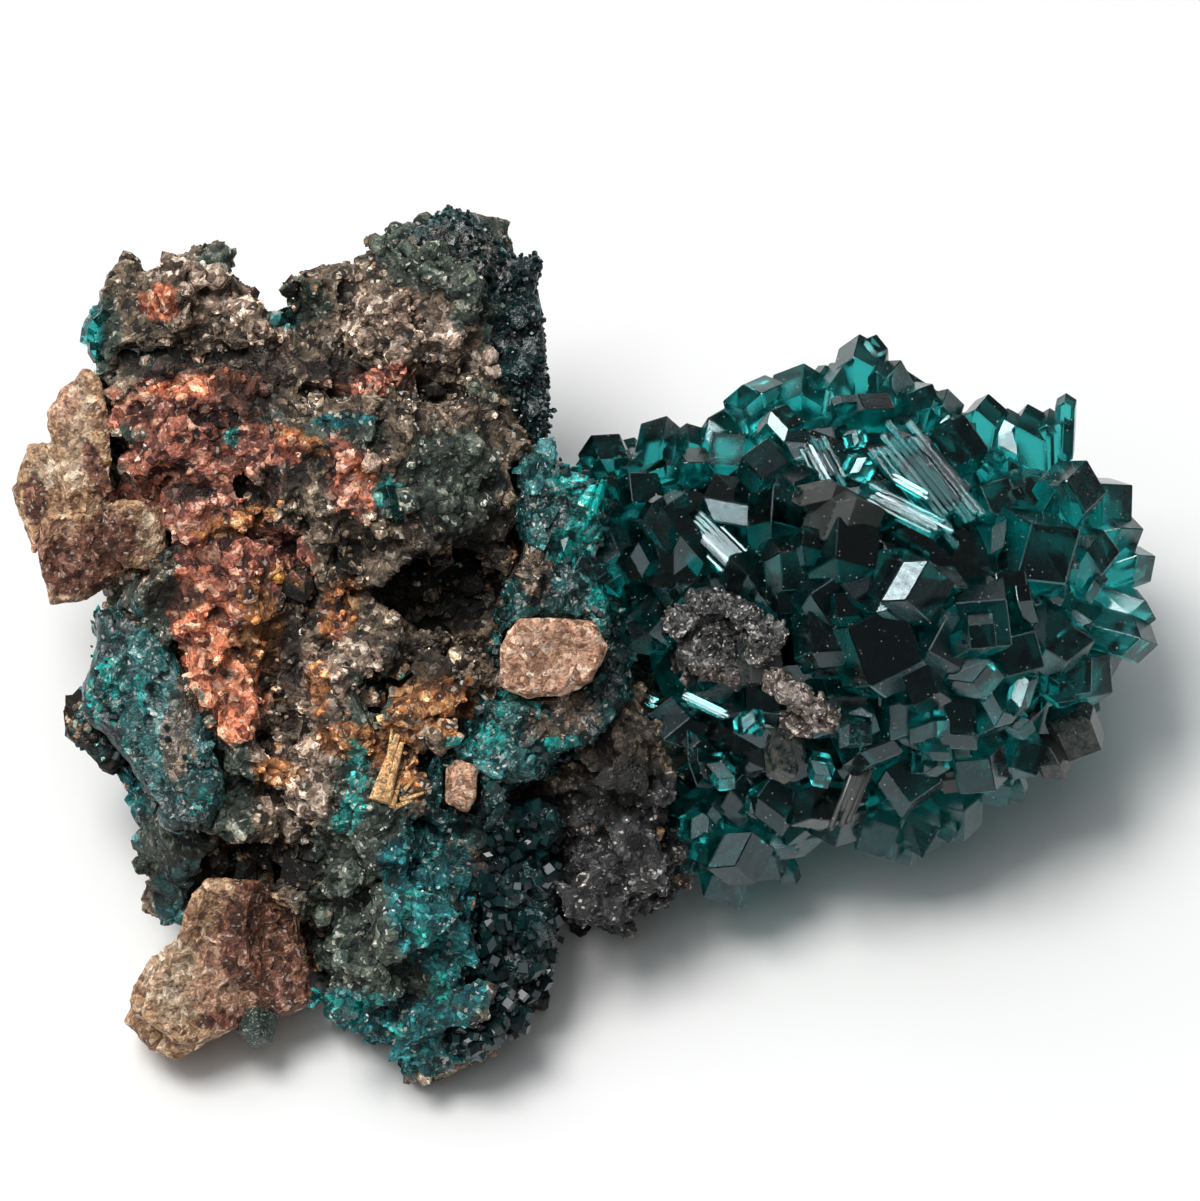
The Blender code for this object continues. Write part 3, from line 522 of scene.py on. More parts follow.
def patch_group():
    """Lays one colour over another where the share of it, broken up by noise, is over a half."""
    number, colour = "NodeSocketFloat", "NodeSocketColor"
    tree, add, start, end = shader_group("patch_of_colour", (
        ("Under", colour, None), ("Over", colour, None), ("Share", number, 0.0), ("Size mm", number, 1.0),
        ("Raggedness", number, 1.0), ("Strength", number, 1.0), ("Offset", number, 0.0)),
        (("Color", colour),))
    where = add("ShaderNodeTexCoord")
    fine = add("ShaderNodeMath", [(start.outputs["Size mm"], 1)], operation="DIVIDE", in_0=1000.0)
    moved = add("ShaderNodeVectorMath", [(where.outputs["Object"], 0), (start.outputs["Offset"], 1)],
                operation="ADD")
    noise = add("ShaderNodeTexNoise", [(moved.outputs[0], "Vector"), (fine.outputs[0], "Scale")],
                in_Detail=2.5, in_Roughness=0.7)
    centred = add("ShaderNodeMath", [(noise.outputs["Fac"], 0)], operation="SUBTRACT", in_1=0.5)
    ragged = add("ShaderNodeMath", [(centred.outputs[0], 0), (start.outputs["Raggedness"], 1),
                                    (start.outputs["Share"], 2)], operation="MULTIPLY_ADD")
    mask = add("ShaderNodeMapRange", [(ragged.outputs[0], "Value")], interpolation_type="SMOOTHSTEP",
               in_From_Min=0.38, in_From_Max=0.62)
    weak = add("ShaderNodeMath", [(mask.outputs[0], 0), (start.outputs["Strength"], 1)], operation="MULTIPLY")
    mixed = add("ShaderNodeMix", [(weak.outputs[0], "Factor")], data_type="RGBA")
    tree.links.new(start.outputs["Under"], mixed.inputs[6])
    tree.links.new(start.outputs["Over"], mixed.inputs[7])
    tree.links.new(mixed.outputs[2], end.inputs["Color"])
    return tree


def grain_group():
    """Grains that each have a shade of their own, with finer grains and pale specks in them, which are partly
    pale crumbs and partly painted glints. Shade is the grain's, and Lit and Speck the finer grain's. Height
    is their relief. Normal tilts each fine grain, so that some glint."""
    number = "NodeSocketFloat"
    tree, add, start, end = shader_group("grains", (("Grain mm", number, 0.4), ("Tilt", number, 0.5)), (
        ("Shade", number), ("Lit", number), ("Speck", number), ("Height", number),
        ("Normal", "NodeSocketVector")))
    where = add("ShaderNodeTexCoord")
    fine = add("ShaderNodeMath", [(start.outputs["Grain mm"], 1)], operation="DIVIDE", in_0=1000.0)
    bent = add("ShaderNodeTexNoise", [(where.outputs["Object"], "Vector")], in_Scale=1500.0, in_Detail=2.0)
    bend = add("ShaderNodeVectorMath", [(bent.outputs["Color"], 0)], operation="SCALE", in_Scale=0.0006)
    moved = add("ShaderNodeVectorMath", [(where.outputs["Object"], 0), (bend.outputs[0], 1)], operation="ADD")
    cells = add("ShaderNodeTexVoronoi", [(moved.outputs[0], "Vector"), (fine.outputs[0], "Scale")])
    shade = add("ShaderNodeSeparateColor", [(cells.outputs["Color"], 0)])
    blotch = add("ShaderNodeTexNoise", [(where.outputs["Object"], "Vector")], in_Scale=420.0, in_Detail=4.0,
                 in_Roughness=0.75)
    both = add("ShaderNodeMath", [(shade.outputs[0], 0), (blotch.outputs["Fac"], 1)], operation="ADD")
    finer = add("ShaderNodeMath", [(fine.outputs[0], 0)], operation="MULTIPLY", in_1=2.7)
    crumbs = add("ShaderNodeTexVoronoi", [(moved.outputs[0], "Vector"), (finer.outputs[0], "Scale")])
    crumb = add("ShaderNodeSeparateColor", [(crumbs.outputs["Color"], 0)])
    lit = add("ShaderNodeMapRange", [(crumb.outputs[0], "Value")], in_To_Min=0.42, in_To_Max=1.5)
    speck_and_glint = add("ShaderNodeMapRange", [(crumb.outputs[1], "Value")], in_From_Min=0.93, in_From_Max=0.96,
                in_To_Max=0.55)
    turned = add("ShaderNodeVectorMath", [(crumbs.outputs["Color"], 0)], operation="SUBTRACT",
                 in_1=(0.5, 0.5, 0.5))
    tilted = add("ShaderNodeVectorMath", [(turned.outputs[0], 0), (start.outputs["Tilt"], "Scale")],
                 operation="SCALE")
    shape = add("ShaderNodeNewGeometry")
    leaned = add("ShaderNodeVectorMath", [(shape.outputs["Normal"], 0), (tilted.outputs[0], 1)],
                 operation="ADD")
    facet = add("ShaderNodeVectorMath", [(leaned.outputs[0], 0)], operation="NORMALIZE")
    dome = add("ShaderNodeMath", [(cells.outputs["Distance"], 0)], operation="MULTIPLY", in_1=-0.35)
    rough = add("ShaderNodeTexNoise", [(where.outputs["Object"], "Vector")], in_Scale=9000.0, in_Detail=2.0)
    height = add("ShaderNodeMath", [(rough.outputs["Fac"], 0), (dome.outputs[0], 2)],
                 operation="MULTIPLY_ADD", in_1=0.8)
    results = {"Shade": both, "Lit": lit, "Speck": speck_and_glint, "Height": height, "Normal": facet}
    for label, value in results.items():
        tree.links.new(value.outputs[0], end.inputs[label])
    return tree


def stain_group():
    """Gives the grains a dark, a middle and a light colour, and pale specks that are partly pale crumbs and
    partly painted glints.
    """
    number, colour = "NodeSocketFloat", "NodeSocketColor"
    tree, add, start, end = shader_group("stain", (
        ("Shade", number, 1.0), ("Lit", number, 1.0), ("Speck", number, 0.0), ("Dark", colour, None),
        ("Middle", colour, None), ("Light", colour, None), ("Light share", number, 0.25)),
        (("Color", colour),))
    low = add("ShaderNodeMapRange", [(start.outputs["Shade"], "Value")], interpolation_type="SMOOTHSTEP",
              in_From_Min=0.55, in_From_Max=1.15)
    turn = add("ShaderNodeMath", [(start.outputs["Light share"], 1)], operation="SUBTRACT", in_0=1.62)
    bright = add("ShaderNodeMath", [(start.outputs["Shade"], 0), (turn.outputs[0], 1)], operation="SUBTRACT")
    high = add("ShaderNodeMapRange", [(bright.outputs[0], "Value")], in_From_Min=0.0, in_From_Max=0.12)
    first = add("ShaderNodeMix", [(low.outputs[0], "Factor")], data_type="RGBA")
    tree.links.new(start.outputs["Dark"], first.inputs[6])
    tree.links.new(start.outputs["Middle"], first.inputs[7])
    second = add("ShaderNodeMix", [(high.outputs[0], "Factor")], data_type="RGBA")
    tree.links.new(first.outputs[2], second.inputs[6])
    tree.links.new(start.outputs["Light"], second.inputs[7])
    shaded = add("ShaderNodeVectorMath", [(second.outputs[2], 0), (start.outputs["Lit"], "Scale")],
                 operation="SCALE")
    # Pale specks, partly pale crumbs and partly painted glints.
    specked_and_glinting = add("ShaderNodeMix", [(start.outputs["Speck"], "Factor")], data_type="RGBA")
    tree.links.new(shaded.outputs[0], specked_and_glinting.inputs[6])
    specked_and_glinting.inputs[7].default_value = (0.62, 0.57, 0.50, 1)
    tree.links.new(specked_and_glinting.outputs[2], end.inputs["Color"])
    return tree


def painted_crease_light_group():
    """Painted shade in the creases and painted highlight on the ridges, from how much the surface bends."""
    number, colour = "NodeSocketFloat", "NodeSocketColor"
    tree, add, start, end = shader_group("creases", (
        ("Color", colour, None), ("Dark", number, 0.3), ("Light", number, 1.3)), (("Color", colour),))
    shape = add("ShaderNodeNewGeometry")
    bend = add("ShaderNodeMapRange", [
        (shape.outputs["Pointiness"], "Value"), (start.outputs["Dark"], "To Min"),
        (start.outputs["Light"], "To Max")], in_From_Min=0.40, in_From_Max=0.60)
    lit = add("ShaderNodeVectorMath", [(start.outputs["Color"], 0), (bend.outputs[0], "Scale")],
              operation="SCALE")
    tree.links.new(lit.outputs[0], end.inputs["Color"])
    return tree


PATCH, GRAINS, STAIN, PAINTED_CREASE_LIGHT = patch_group(), grain_group(), stain_group(), painted_crease_light_group()
PATTERN_SHIFT = 13 * MM
FLOOR_GAP = 0.02 * MM


def new_material(name):
    made = bpy.data.materials.new(name)
    made.use_nodes = True
    tree = made.node_tree
    return made, joined_nodes(tree), tree.nodes["Principled BSDF"], tree.links.new


def patched(add, under, layers):
    """Lays patches over a colour: (attribute, colour socket or value, size mm, raggedness, strength)."""
    for number, (name, colour, size, ragged, strength) in enumerate(layers):
        share = add("ShaderNodeAttribute", attribute_name=name)
        layer = add("ShaderNodeGroup", [(under, "Under"), (share.outputs["Fac"], "Share")], node_tree=PATCH,
                    in_Size_mm=size, in_Raggedness=ragged, in_Strength=strength,
                    in_Offset=PATTERN_SHIFT * (number + 1))
        if isinstance(colour, tuple):
            layer.inputs["Over"].default_value = (*colour, 1)
        else:
            layer.id_data.links.new(colour, layer.inputs["Over"])
        under = layer.outputs["Color"]
    return under


def grains(add, grain, tilt=0.3):
    return add("ShaderNodeGroup", node_tree=GRAINS, in_Grain_mm=grain, in_Tilt=tilt)


def stained(add, rock, dark, middle, light, share):
    """The colour of these grains when they have these shades, the light ones with this share."""
    tint = add("ShaderNodeGroup", [(rock.outputs[label], label) for label in ("Shade", "Lit", "Speck")],
               node_tree=STAIN, in_Dark=(*dark, 1), in_Middle=(*middle, 1), in_Light=(*light, 1),
               in_Light_share=share)
    return tint.outputs["Color"]


def with_painted_crease_light(add, colour, dark, light):
    """The colour with painted shade in the creases, times dark, and painted highlight on the ridges, times
    light.
    """
    return add("ShaderNodeGroup", [(colour, "Color")], node_tree=PAINTED_CREASE_LIGHT, in_Dark=dark,
               in_Light=light).outputs["Color"]


def each_its_own(add, colour, least, most):
    """The colour, with a shade of its own for each grain that stands on a surface."""
    tint = add("ShaderNodeAttribute", attribute_name="tint")
    shade = add("ShaderNodeMapRange", [(tint.outputs["Fac"], "Value")], in_To_Min=least, in_To_Max=most)
    return add("ShaderNodeVectorMath", [(colour, 0), (shade.outputs[0], "Scale")],
               operation="SCALE").outputs[0]


def grain_relief(add, link, shader, rock, strength, height, glinting=True):
    """Gives the surface the fine relief of its grains, so many mm high, and their glint."""
    bump = add("ShaderNodeBump", [(rock.outputs["Height"], "Height")], in_Strength=strength,
               in_Distance=height * MM)
    if glinting:
        link(rock.outputs["Normal"], bump.inputs["Normal"])
    link(bump.outputs[0], shader.inputs["Normal"])


def dressed(piece, finishes, node):
    """Presses the piece flat where it would reach below the floor. Gives it its materials, and its place in
    the frame, instead of a solid where it stands for one."""
    kinds = np.zeros(len(piece.data.polygons), np.int32)
    if len(finishes) > 1:
        piece.data.polygons.foreach_get("material_index", kinds)
    points = points_of(piece)
    points[:, 2] = np.maximum(points[:, 2], FLOOR_GAP)
    piece.data.vertices.foreach_set("co", points.astype(np.float32).ravel())
    piece.data.materials.clear()
    for finish in finishes:
        piece.data.materials.append(finish)
    piece.data.polygons.foreach_set("material_index", kinds)
    piece.data.shade_flat()
    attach(piece, "root")
    if node:
        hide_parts(node)


def gossan_finish(name, loose=False):
    """The rock's colours. The grains that stand on it each have a shade of their own as well."""
    made, add, shader, link = new_material(name)
    rock = grains(add, 0.40, 0.36)
    base = stained(add, rock, (0.024, 0.017, 0.012), (0.165, 0.120, 0.082), (0.50, 0.39, 0.29), 0.26)
    brick = stained(add, rock, (0.048, 0.013, 0.010), (0.35, 0.115, 0.073), (0.72, 0.37, 0.25), 0.32)
    orange = stained(add, rock, (0.20, 0.048, 0.024), (0.74, 0.245, 0.125), (0.94, 0.50, 0.31), 0.36)
    rust = stained(add, rock, (0.10, 0.035, 0.012), (0.42, 0.165, 0.055), (0.68, 0.36, 0.16), 0.3)
    tan = stained(add, rock, (0.055, 0.036, 0.026), (0.310, 0.215, 0.160), (0.70, 0.55, 0.44), 0.36)
    green = stained(add, rock, (0.012, 0.024, 0.021), (0.045, 0.072, 0.058), (0.15, 0.19, 0.155), 0.22)
    deep = stained(add, rock, (0.001, 0.030, 0.036), (0.005, 0.125, 0.135), (0.04, 0.31, 0.32), 0.26)
    turquoise = stained(add, rock, (0.004, 0.09, 0.08), (0.010, 0.23, 0.205), (0.06, 0.42, 0.38), 0.3)
    slate = stained(add, rock, (0.010, 0.010, 0.011), (0.042, 0.041, 0.043), (0.16, 0.155, 0.155), 0.2)
    colour = patched(add, base, (
        ("green", green, 1.6, 1.5, 0.85),
        ("deep_teal", deep, 1.3, 1.3, 0.9),
        ("tan", tan, 1.1, 1.7, 0.9),
        ("brick", brick, 1.3, 1.6, 0.95),
        ("rust", rust, 0.8, 2.2, 0.9),
        ("orange", orange, 0.9, 1.5, 0.95),
        ("turquoise", turquoise, 0.6, 2.0, 0.9),
        ("slate", slate, 0.8, 0.8, 1.0),
        # Near-black painted shade where the rock lies under overhangs, in hollows and in gaps.
        ("dark", (0.008, 0.007, 0.006), 1.4, 1.1, 0.8),
    ))
    # Painted shade in the creases and painted highlight on the ridges.
    colour = with_painted_crease_light(add, colour, 0.05, 1.75)
    if loose:
        colour = each_its_own(add, colour, 0.25, 2.0)
    link(colour, shader.inputs["Base Color"])
    where = add("ShaderNodeTexCoord")
    glint = add("ShaderNodeTexVoronoi", [(where.outputs["Object"], "Vector")], in_Scale=3200.0)
    shiny = add("ShaderNodeSeparateColor", [(glint.outputs["Color"], 0)])
    rough = add("ShaderNodeMapRange", [(shiny.outputs[1], "Value")], in_From_Min=0.80, in_From_Max=0.90,
                in_To_Min=0.86, in_To_Max=0.28)
    link(rough.outputs[0], shader.inputs["Roughness"])
    grain_relief(add, link, shader, rock, 1.0, 0.16)
    return made


gossan = copy_of_solid("matrix", "gossan")
run_together(gossan, *(rounded_lump(name, spec) for name, spec in ROCK_LUMPS.items()))
for name, density, sizes, seed in ROCK_SHARDS:
    stock = kept_aside(name, [shard(f"{name}_{n}", seed + n) for n in range(3)])
    grown_over(gossan, stock, density, sizes, seed)
remeshed(gossan, ROCK_GRAIN)
one_body(gossan)
weathered(gossan, ROCK_RELIEF, smooth=1)
dented(gossan, ROCK_DENTS)
thinned(gossan, ROCK_TRIANGLES)
coloured(gossan, ROCK_COLOURS, back_share=0.3)
dressed(gossan, (gossan_finish("gossan_rock"),), "matrix")


# The sharp grains all over the gossan: quartz, iron oxide and carbonate crumbs that are grown fast to it.
# For each kind: how many to the square mm, their smallest and largest radius in mm, and the seed.
LOOSE_GRAINS = (
    ("gossan_fragments", 0.07, (0.35, 0.70), 37),
    ("gossan_crumbs", 1.1, (0.09, 0.24), 41),
    ("gossan_fine_crumbs", 1.9, (0.06, 0.16), 47),
)
# Where the rock is gravelly, which is where they are thickest.
GRAVELLY = {
    "gravel": ((268, 340, 60, 50, 0), (410, 310, 70, 80, 0), (400, 470, 100, 80, 0), (330, 720, 60, 110, 0),
               (370, 900, 90, 140, 0), (200, 290, 70, 44, 0), (640, 850, 60, 80, 0), (450, 620, 70, 50, 0)),
}

grain_finish = gossan_finish("gossan_grains", loose=True)
for name, density, sizes, seed in LOOSE_GRAINS:
    crumbs = new_piece(name, gossan.data.copy())
    coloured(crumbs, GRAVELLY, back_share=0.6, least=0.3)
    stock = kept_aside(name + "_stock", [shard(f"{name}_{n}", seed + n) for n in range(4)])
    grown_over(crumbs, stock, density, sizes, seed, where="gravel", keep=False)
    coloured(crumbs, ROCK_COLOURS)
    dressed(crumbs, (grain_finish,), None)


# The tan blocks of calcite at the left edge, the foot, and on the front crust: cleaved, sugary blocks with
# worn edges and small pits. Each is one block or one group of blocks that grew together, in the gossan.
CALCITE_GRAIN = 0.11 * MM
CALCITE_RELIEF = (
    ("CLOUDS", 2.2, 0.34, 0.5),
    ("STEPS", 1.3, 0.22, 0.4),
    ("VORONOI", 0.6, 0.12, 0.4),
    ("CLOUDS", 0.35, 0.15, 0.5),
)
CALCITE_DENTS = (
    (292, 930, 46, 70, 1.3), (250, 1000, 34, 26, 0.5), (90, 500, 26, 14, 0.6), (560, 660, 34, 22, 0.25),
    (62, 545, 20, 30, 0.4), (212, 930, 14, 40, 0.3),
)
CALCITE_COLOURS = {
    "pinkish": ((240, 980, 50, 60, 0), (70, 560, 50, 40, 0), (550, 655, 60, 44, 0), (462, 785, 24, 30, 0),
                (60, 400, 20, 20, 0)),
    # The brownish patches are partly brown stain and partly painted shade, in the foot's hollow and on the
    # left block's lower side.
    "brownish": ((74, 566, 50, 30, 0), (270, 940, 50, 70, 10), (110, 540, 24, 34, 0), (150, 450, 12, 60, 0),
                 (36, 500, 12, 26, 0), (96, 470, 10, 30, 20), (128, 590, 30, 20, 0), (250, 1020, 60, 12, 0),
                 (300, 960, 36, 50, 0)),
    "pale": ((76, 430, 16, 60, 0), (180, 980, 40, 40, 20), (44, 470, 14, 20, 0), (150, 530, 14, 20, 0),
             (548, 640, 30, 10, 0)),
}


def calcite_finish():
    made, add, shader, link = new_material("calcite_blocks")
    rock = grains(add, 0.30, 0.22)
    base = stained(add, rock, (0.20, 0.100, 0.055), (0.50, 0.300, 0.165), (0.76, 0.55, 0.37), 0.34)
    pink = stained(add, rock, (0.29, 0.140, 0.088), (0.64, 0.355, 0.235), (0.86, 0.60, 0.44), 0.34)
    brown = stained(add, rock, (0.045, 0.014, 0.009), (0.165, 0.058, 0.035), (0.40, 0.19, 0.13), 0.25)
    pale = stained(add, rock, (0.30, 0.19, 0.12), (0.57, 0.395, 0.260), (0.80, 0.64, 0.48), 0.3)
    colour = patched(add, base, (
        ("pale", pale, 1.4, 1.0, 0.8),
        ("pinkish", pink, 1.2, 0.9, 0.85),
        # Brown stain, and partly painted shade in the foot's hollow and on the left block's lower side.
        ("brownish", brown, 0.8, 1.1, 0.92),
    ))
    # Painted shade in the creases and painted highlight on the ridges.
    link(with_painted_crease_light(add, colour, 0.25, 1.45), shader.inputs["Base Color"])
    shader.inputs["Roughness"].default_value = 0.62
    shader.inputs["Specular IOR Level"].default_value = 0.35
    grain_relief(add, link, shader, rock, 0.9, 0.12)
    return made


def eased(relief, share):
    """The relief with this share of its depths."""
    return [(kind, scale, depth * share, middle) for kind, scale, depth, middle in relief]


# For each block, how rough it is.
BLOCKS = {
    "calcite_left_group": 1.0,
    "calcite_foot": 1.0,
    "calcite_front_block": 0.5,
    "calcite_front_chip": 0.5,
}
calcite_blocks = calcite_finish()
for node, rough in BLOCKS.items():
    block = copy_of_solid(node, node.replace("calcite_", "calcite_block_"))
    remeshed(block, CALCITE_GRAIN)
    weathered(block, eased(CALCITE_RELIEF, rough), smooth=1)
    x, y, _ = on_grid(points_of(block))
    dented(block, [dent for dent in CALCITE_DENTS
                   if x.min() < dent[0] < x.max() and y.min() < dent[1] < y.max()])
    coloured(block, CALCITE_COLOURS)
    dressed(block, (calcite_blocks,), node)


# The crusts: skins of massive, fine-grained dioptase with many small crystals on them, on the tower, down the
# left flank, between the rock and the cluster, and on the lower column. The skin is cleaved in small steps.
CRUST_GRAIN = 0.12 * MM
CRUST_RELIEF = (
    ("CLOUDS", 2.4, 0.7, 0.5),
    ("CRAGS", 3.0, 0.4, 1.0),
    ("STEPS", 1.3, 0.36, 0.4),
    ("STEPS", 0.5, 0.14, 0.4),
    ("CLOUDS", 0.3, 0.12, 0.5),
)
CRUST_COLOURS = {
    "turquoise": (
        (576, 540, 22, 26, -30), (564, 482, 14, 14, 0), (594, 505, 12, 20, 0), (520, 700, 18, 14, 0),
        (492, 738, 16, 16, 0), (470, 744, 8, 8, 0), (560, 745, 20, 10, 0), (92, 640, 5, 24, 8),
        (106, 672, 5, 24, 4), (114, 706, 4, 26, 0), (98, 716, 4, 18, 0), (126, 744, 4, 20, 6),
        (92, 610, 8, 8, 0), (205, 800, 8, 12, 20), (90, 690, 4, 20, 0), (140, 690, 4, 16, 8),
        (370, 270, 8, 14, 0), (436, 960, 8, 14, 40), (600, 590, 10, 36, 0),
    ),
    "pale_teal": (
        (550, 470, 40, 22, 0), (590, 470, 16, 16, 0), (596, 560, 20, 40, 0), (500, 760, 60, 14, -16),
        (150, 660, 40, 40, 0), (160, 720, 40, 50, 0), (540, 760, 60, 12, -20), (400, 262, 14, 16, 0),
        (530, 258, 20, 10, 0),
    ),
    "brownish": ((530, 572, 14, 30, 20), (558, 712, 40, 22, 0), (150, 612, 30, 14, 0), (420, 330, 60, 60, 0),
                 (175, 740, 16, 40, 0), (440, 232, 12, 7, 0), (450, 262, 56, 30, 0), (190, 690, 12, 40, 0),
                 (540, 560, 12, 20, 0), (204, 640, 14, 30, 0)),
    # The dark patches are painted shade beneath the wedge and in the gaps, and partly the real dark druse of
    # the tower and lower column.
    "dark": ((520, 820, 60, 24, 0), (470, 250, 50, 36, 0), (510, 960, 60, 110, 0), (610, 660, 12, 60, 0),
             (520, 340, 40, 110, 0), (100, 760, 30, 40, 0), (200, 830, 30, 20, 0)),
}


def crust_finish(name, loose=False):
    """The skin's colours. The flakes on it each have a shade of their own, and mirror more."""
    made, add, shader, link = new_material(name)
    rock = grains(add, 0.34, 0.3)
    base = stained(add, rock, (0.002, 0.016, 0.017), (0.009, 0.058, 0.058), (0.05, 0.19, 0.185), 0.22)
    pale = stained(add, rock, (0.008, 0.055, 0.058), (0.034, 0.150, 0.150), (0.16, 0.36, 0.35), 0.25)
    turquoise = stained(add, rock, (0.002, 0.09, 0.082), (0.004, 0.25, 0.225), (0.03, 0.46, 0.42), 0.3)
    brown = stained(add, rock, (0.030, 0.024, 0.018), (0.13, 0.085, 0.055), (0.34, 0.23, 0.16), 0.3)
    colour = patched(add, base, (
        ("pale_teal", pale, 1.2, 1.3, 0.9),
        ("brownish", brown, 1.0, 1.5, 0.9),
        ("turquoise", turquoise, 0.55, 2.2, 1.0),
        # Painted shade beneath the wedge and in the gaps, and partly the dark druse.
        ("dark", (0.002, 0.008, 0.009), 1.2, 1.2, 0.75),
    ))
    # Painted shade in the creases and painted highlight on the ridges.
    colour = with_painted_crease_light(add, colour, 0.2, 1.6)
    if loose:
        colour = each_its_own(add, colour, 0.35, 1.35)
    link(colour, shader.inputs["Base Color"])
    rough = add("ShaderNodeMapRange", [(rock.outputs["Shade"], "Value")], in_From_Min=0.4, in_From_Max=1.6,
                in_To_Min=0.3 if loose else 0.5, in_To_Max=0.14)
    link(rough.outputs[0], shader.inputs["Roughness"])
    shader.inputs["Coat Weight"].default_value = 0.3
    shader.inputs["Coat Roughness"].default_value = 0.12
    grain_relief(add, link, shader, rock, 0.8, 0.12)
    return made


# For each crust: how many flakes to the square mm, their half widths in mm, and how rough the skin is.
CRUSTS = {
    "dioptase_tower": (0.5, (0.14, 0.50), 0.45),
    "dioptase_left_crust": (0.35, (0.14, 0.55), 0.6),
    "dioptase_front_crust": (1.3, (0.18, 0.80), 0.9),
    "dioptase_lower_druse": (0.5, (0.14, 0.55), 1.0),
}
FLAKE_SHAPE = (1.3, 0.7, 0.3)

crust_skin, flake_look = crust_finish("dioptase_crust"), crust_finish("dioptase_flakes", loose=True)
for number, (node, (density, sizes, rough)) in enumerate(CRUSTS.items()):
    crust = copy_of_solid(node, node + "_skin")
    remeshed(crust, CRUST_GRAIN)
    weathered(crust, eased(CRUST_RELIEF, rough), smooth=2)
    coloured(crust, CRUST_COLOURS)
    dressed(crust, (crust_skin,), node)
    flakes = new_piece(node + "_flakes", crust.data.copy())
    stock = [shard(f"{node}_flake_{n}", 20 + n, rough=0.3) for n in range(4)]
    for flake in stock:
        flake.data.transform(Matrix.Diagonal((*FLAKE_SHAPE, 1.0)))
    grown_over(flakes, kept_aside(node + "_flakes", stock), density, sizes, 30 + number, upright=0.4,
               keep=False)
    coloured(flakes, CRUST_COLOURS)
    dressed(flakes, (flake_look,), None)


# The cluster: dark teal dioptase crystals, grown together over each other. Each is a six-sided prism that
# ends in three rhomb faces. It is clear crystal that takes up light within a few mm. Some are striated, which
# is many thin crystals side by side, and some have a dull grey-brown film.
RHOMB_ANGLE = math.radians(51)
# The cores that the crystals stand on: place on the grid, out, half sizes in mm, roll.
CLUSTER_CORES = {
    "heart": (876, 612, -0.4, (9.0, 7.0, 8.2), -24),
    "crown": (848, 510, -0.8, (6.6, 4.5, 6.4), 0),
    "right": (1024, 556, -1.0, (3.4, 4.2, 5.0), 0),
    "left": (690, 562, 0.2, (3.8, 3.9, 4.8), 0),
    "lower": (784, 740, -0.8, (5.4, 3.2, 5.4), -10),
    "foot": (716, 828, -0.9, (1.6, 1.7, 2.8), 0),
}
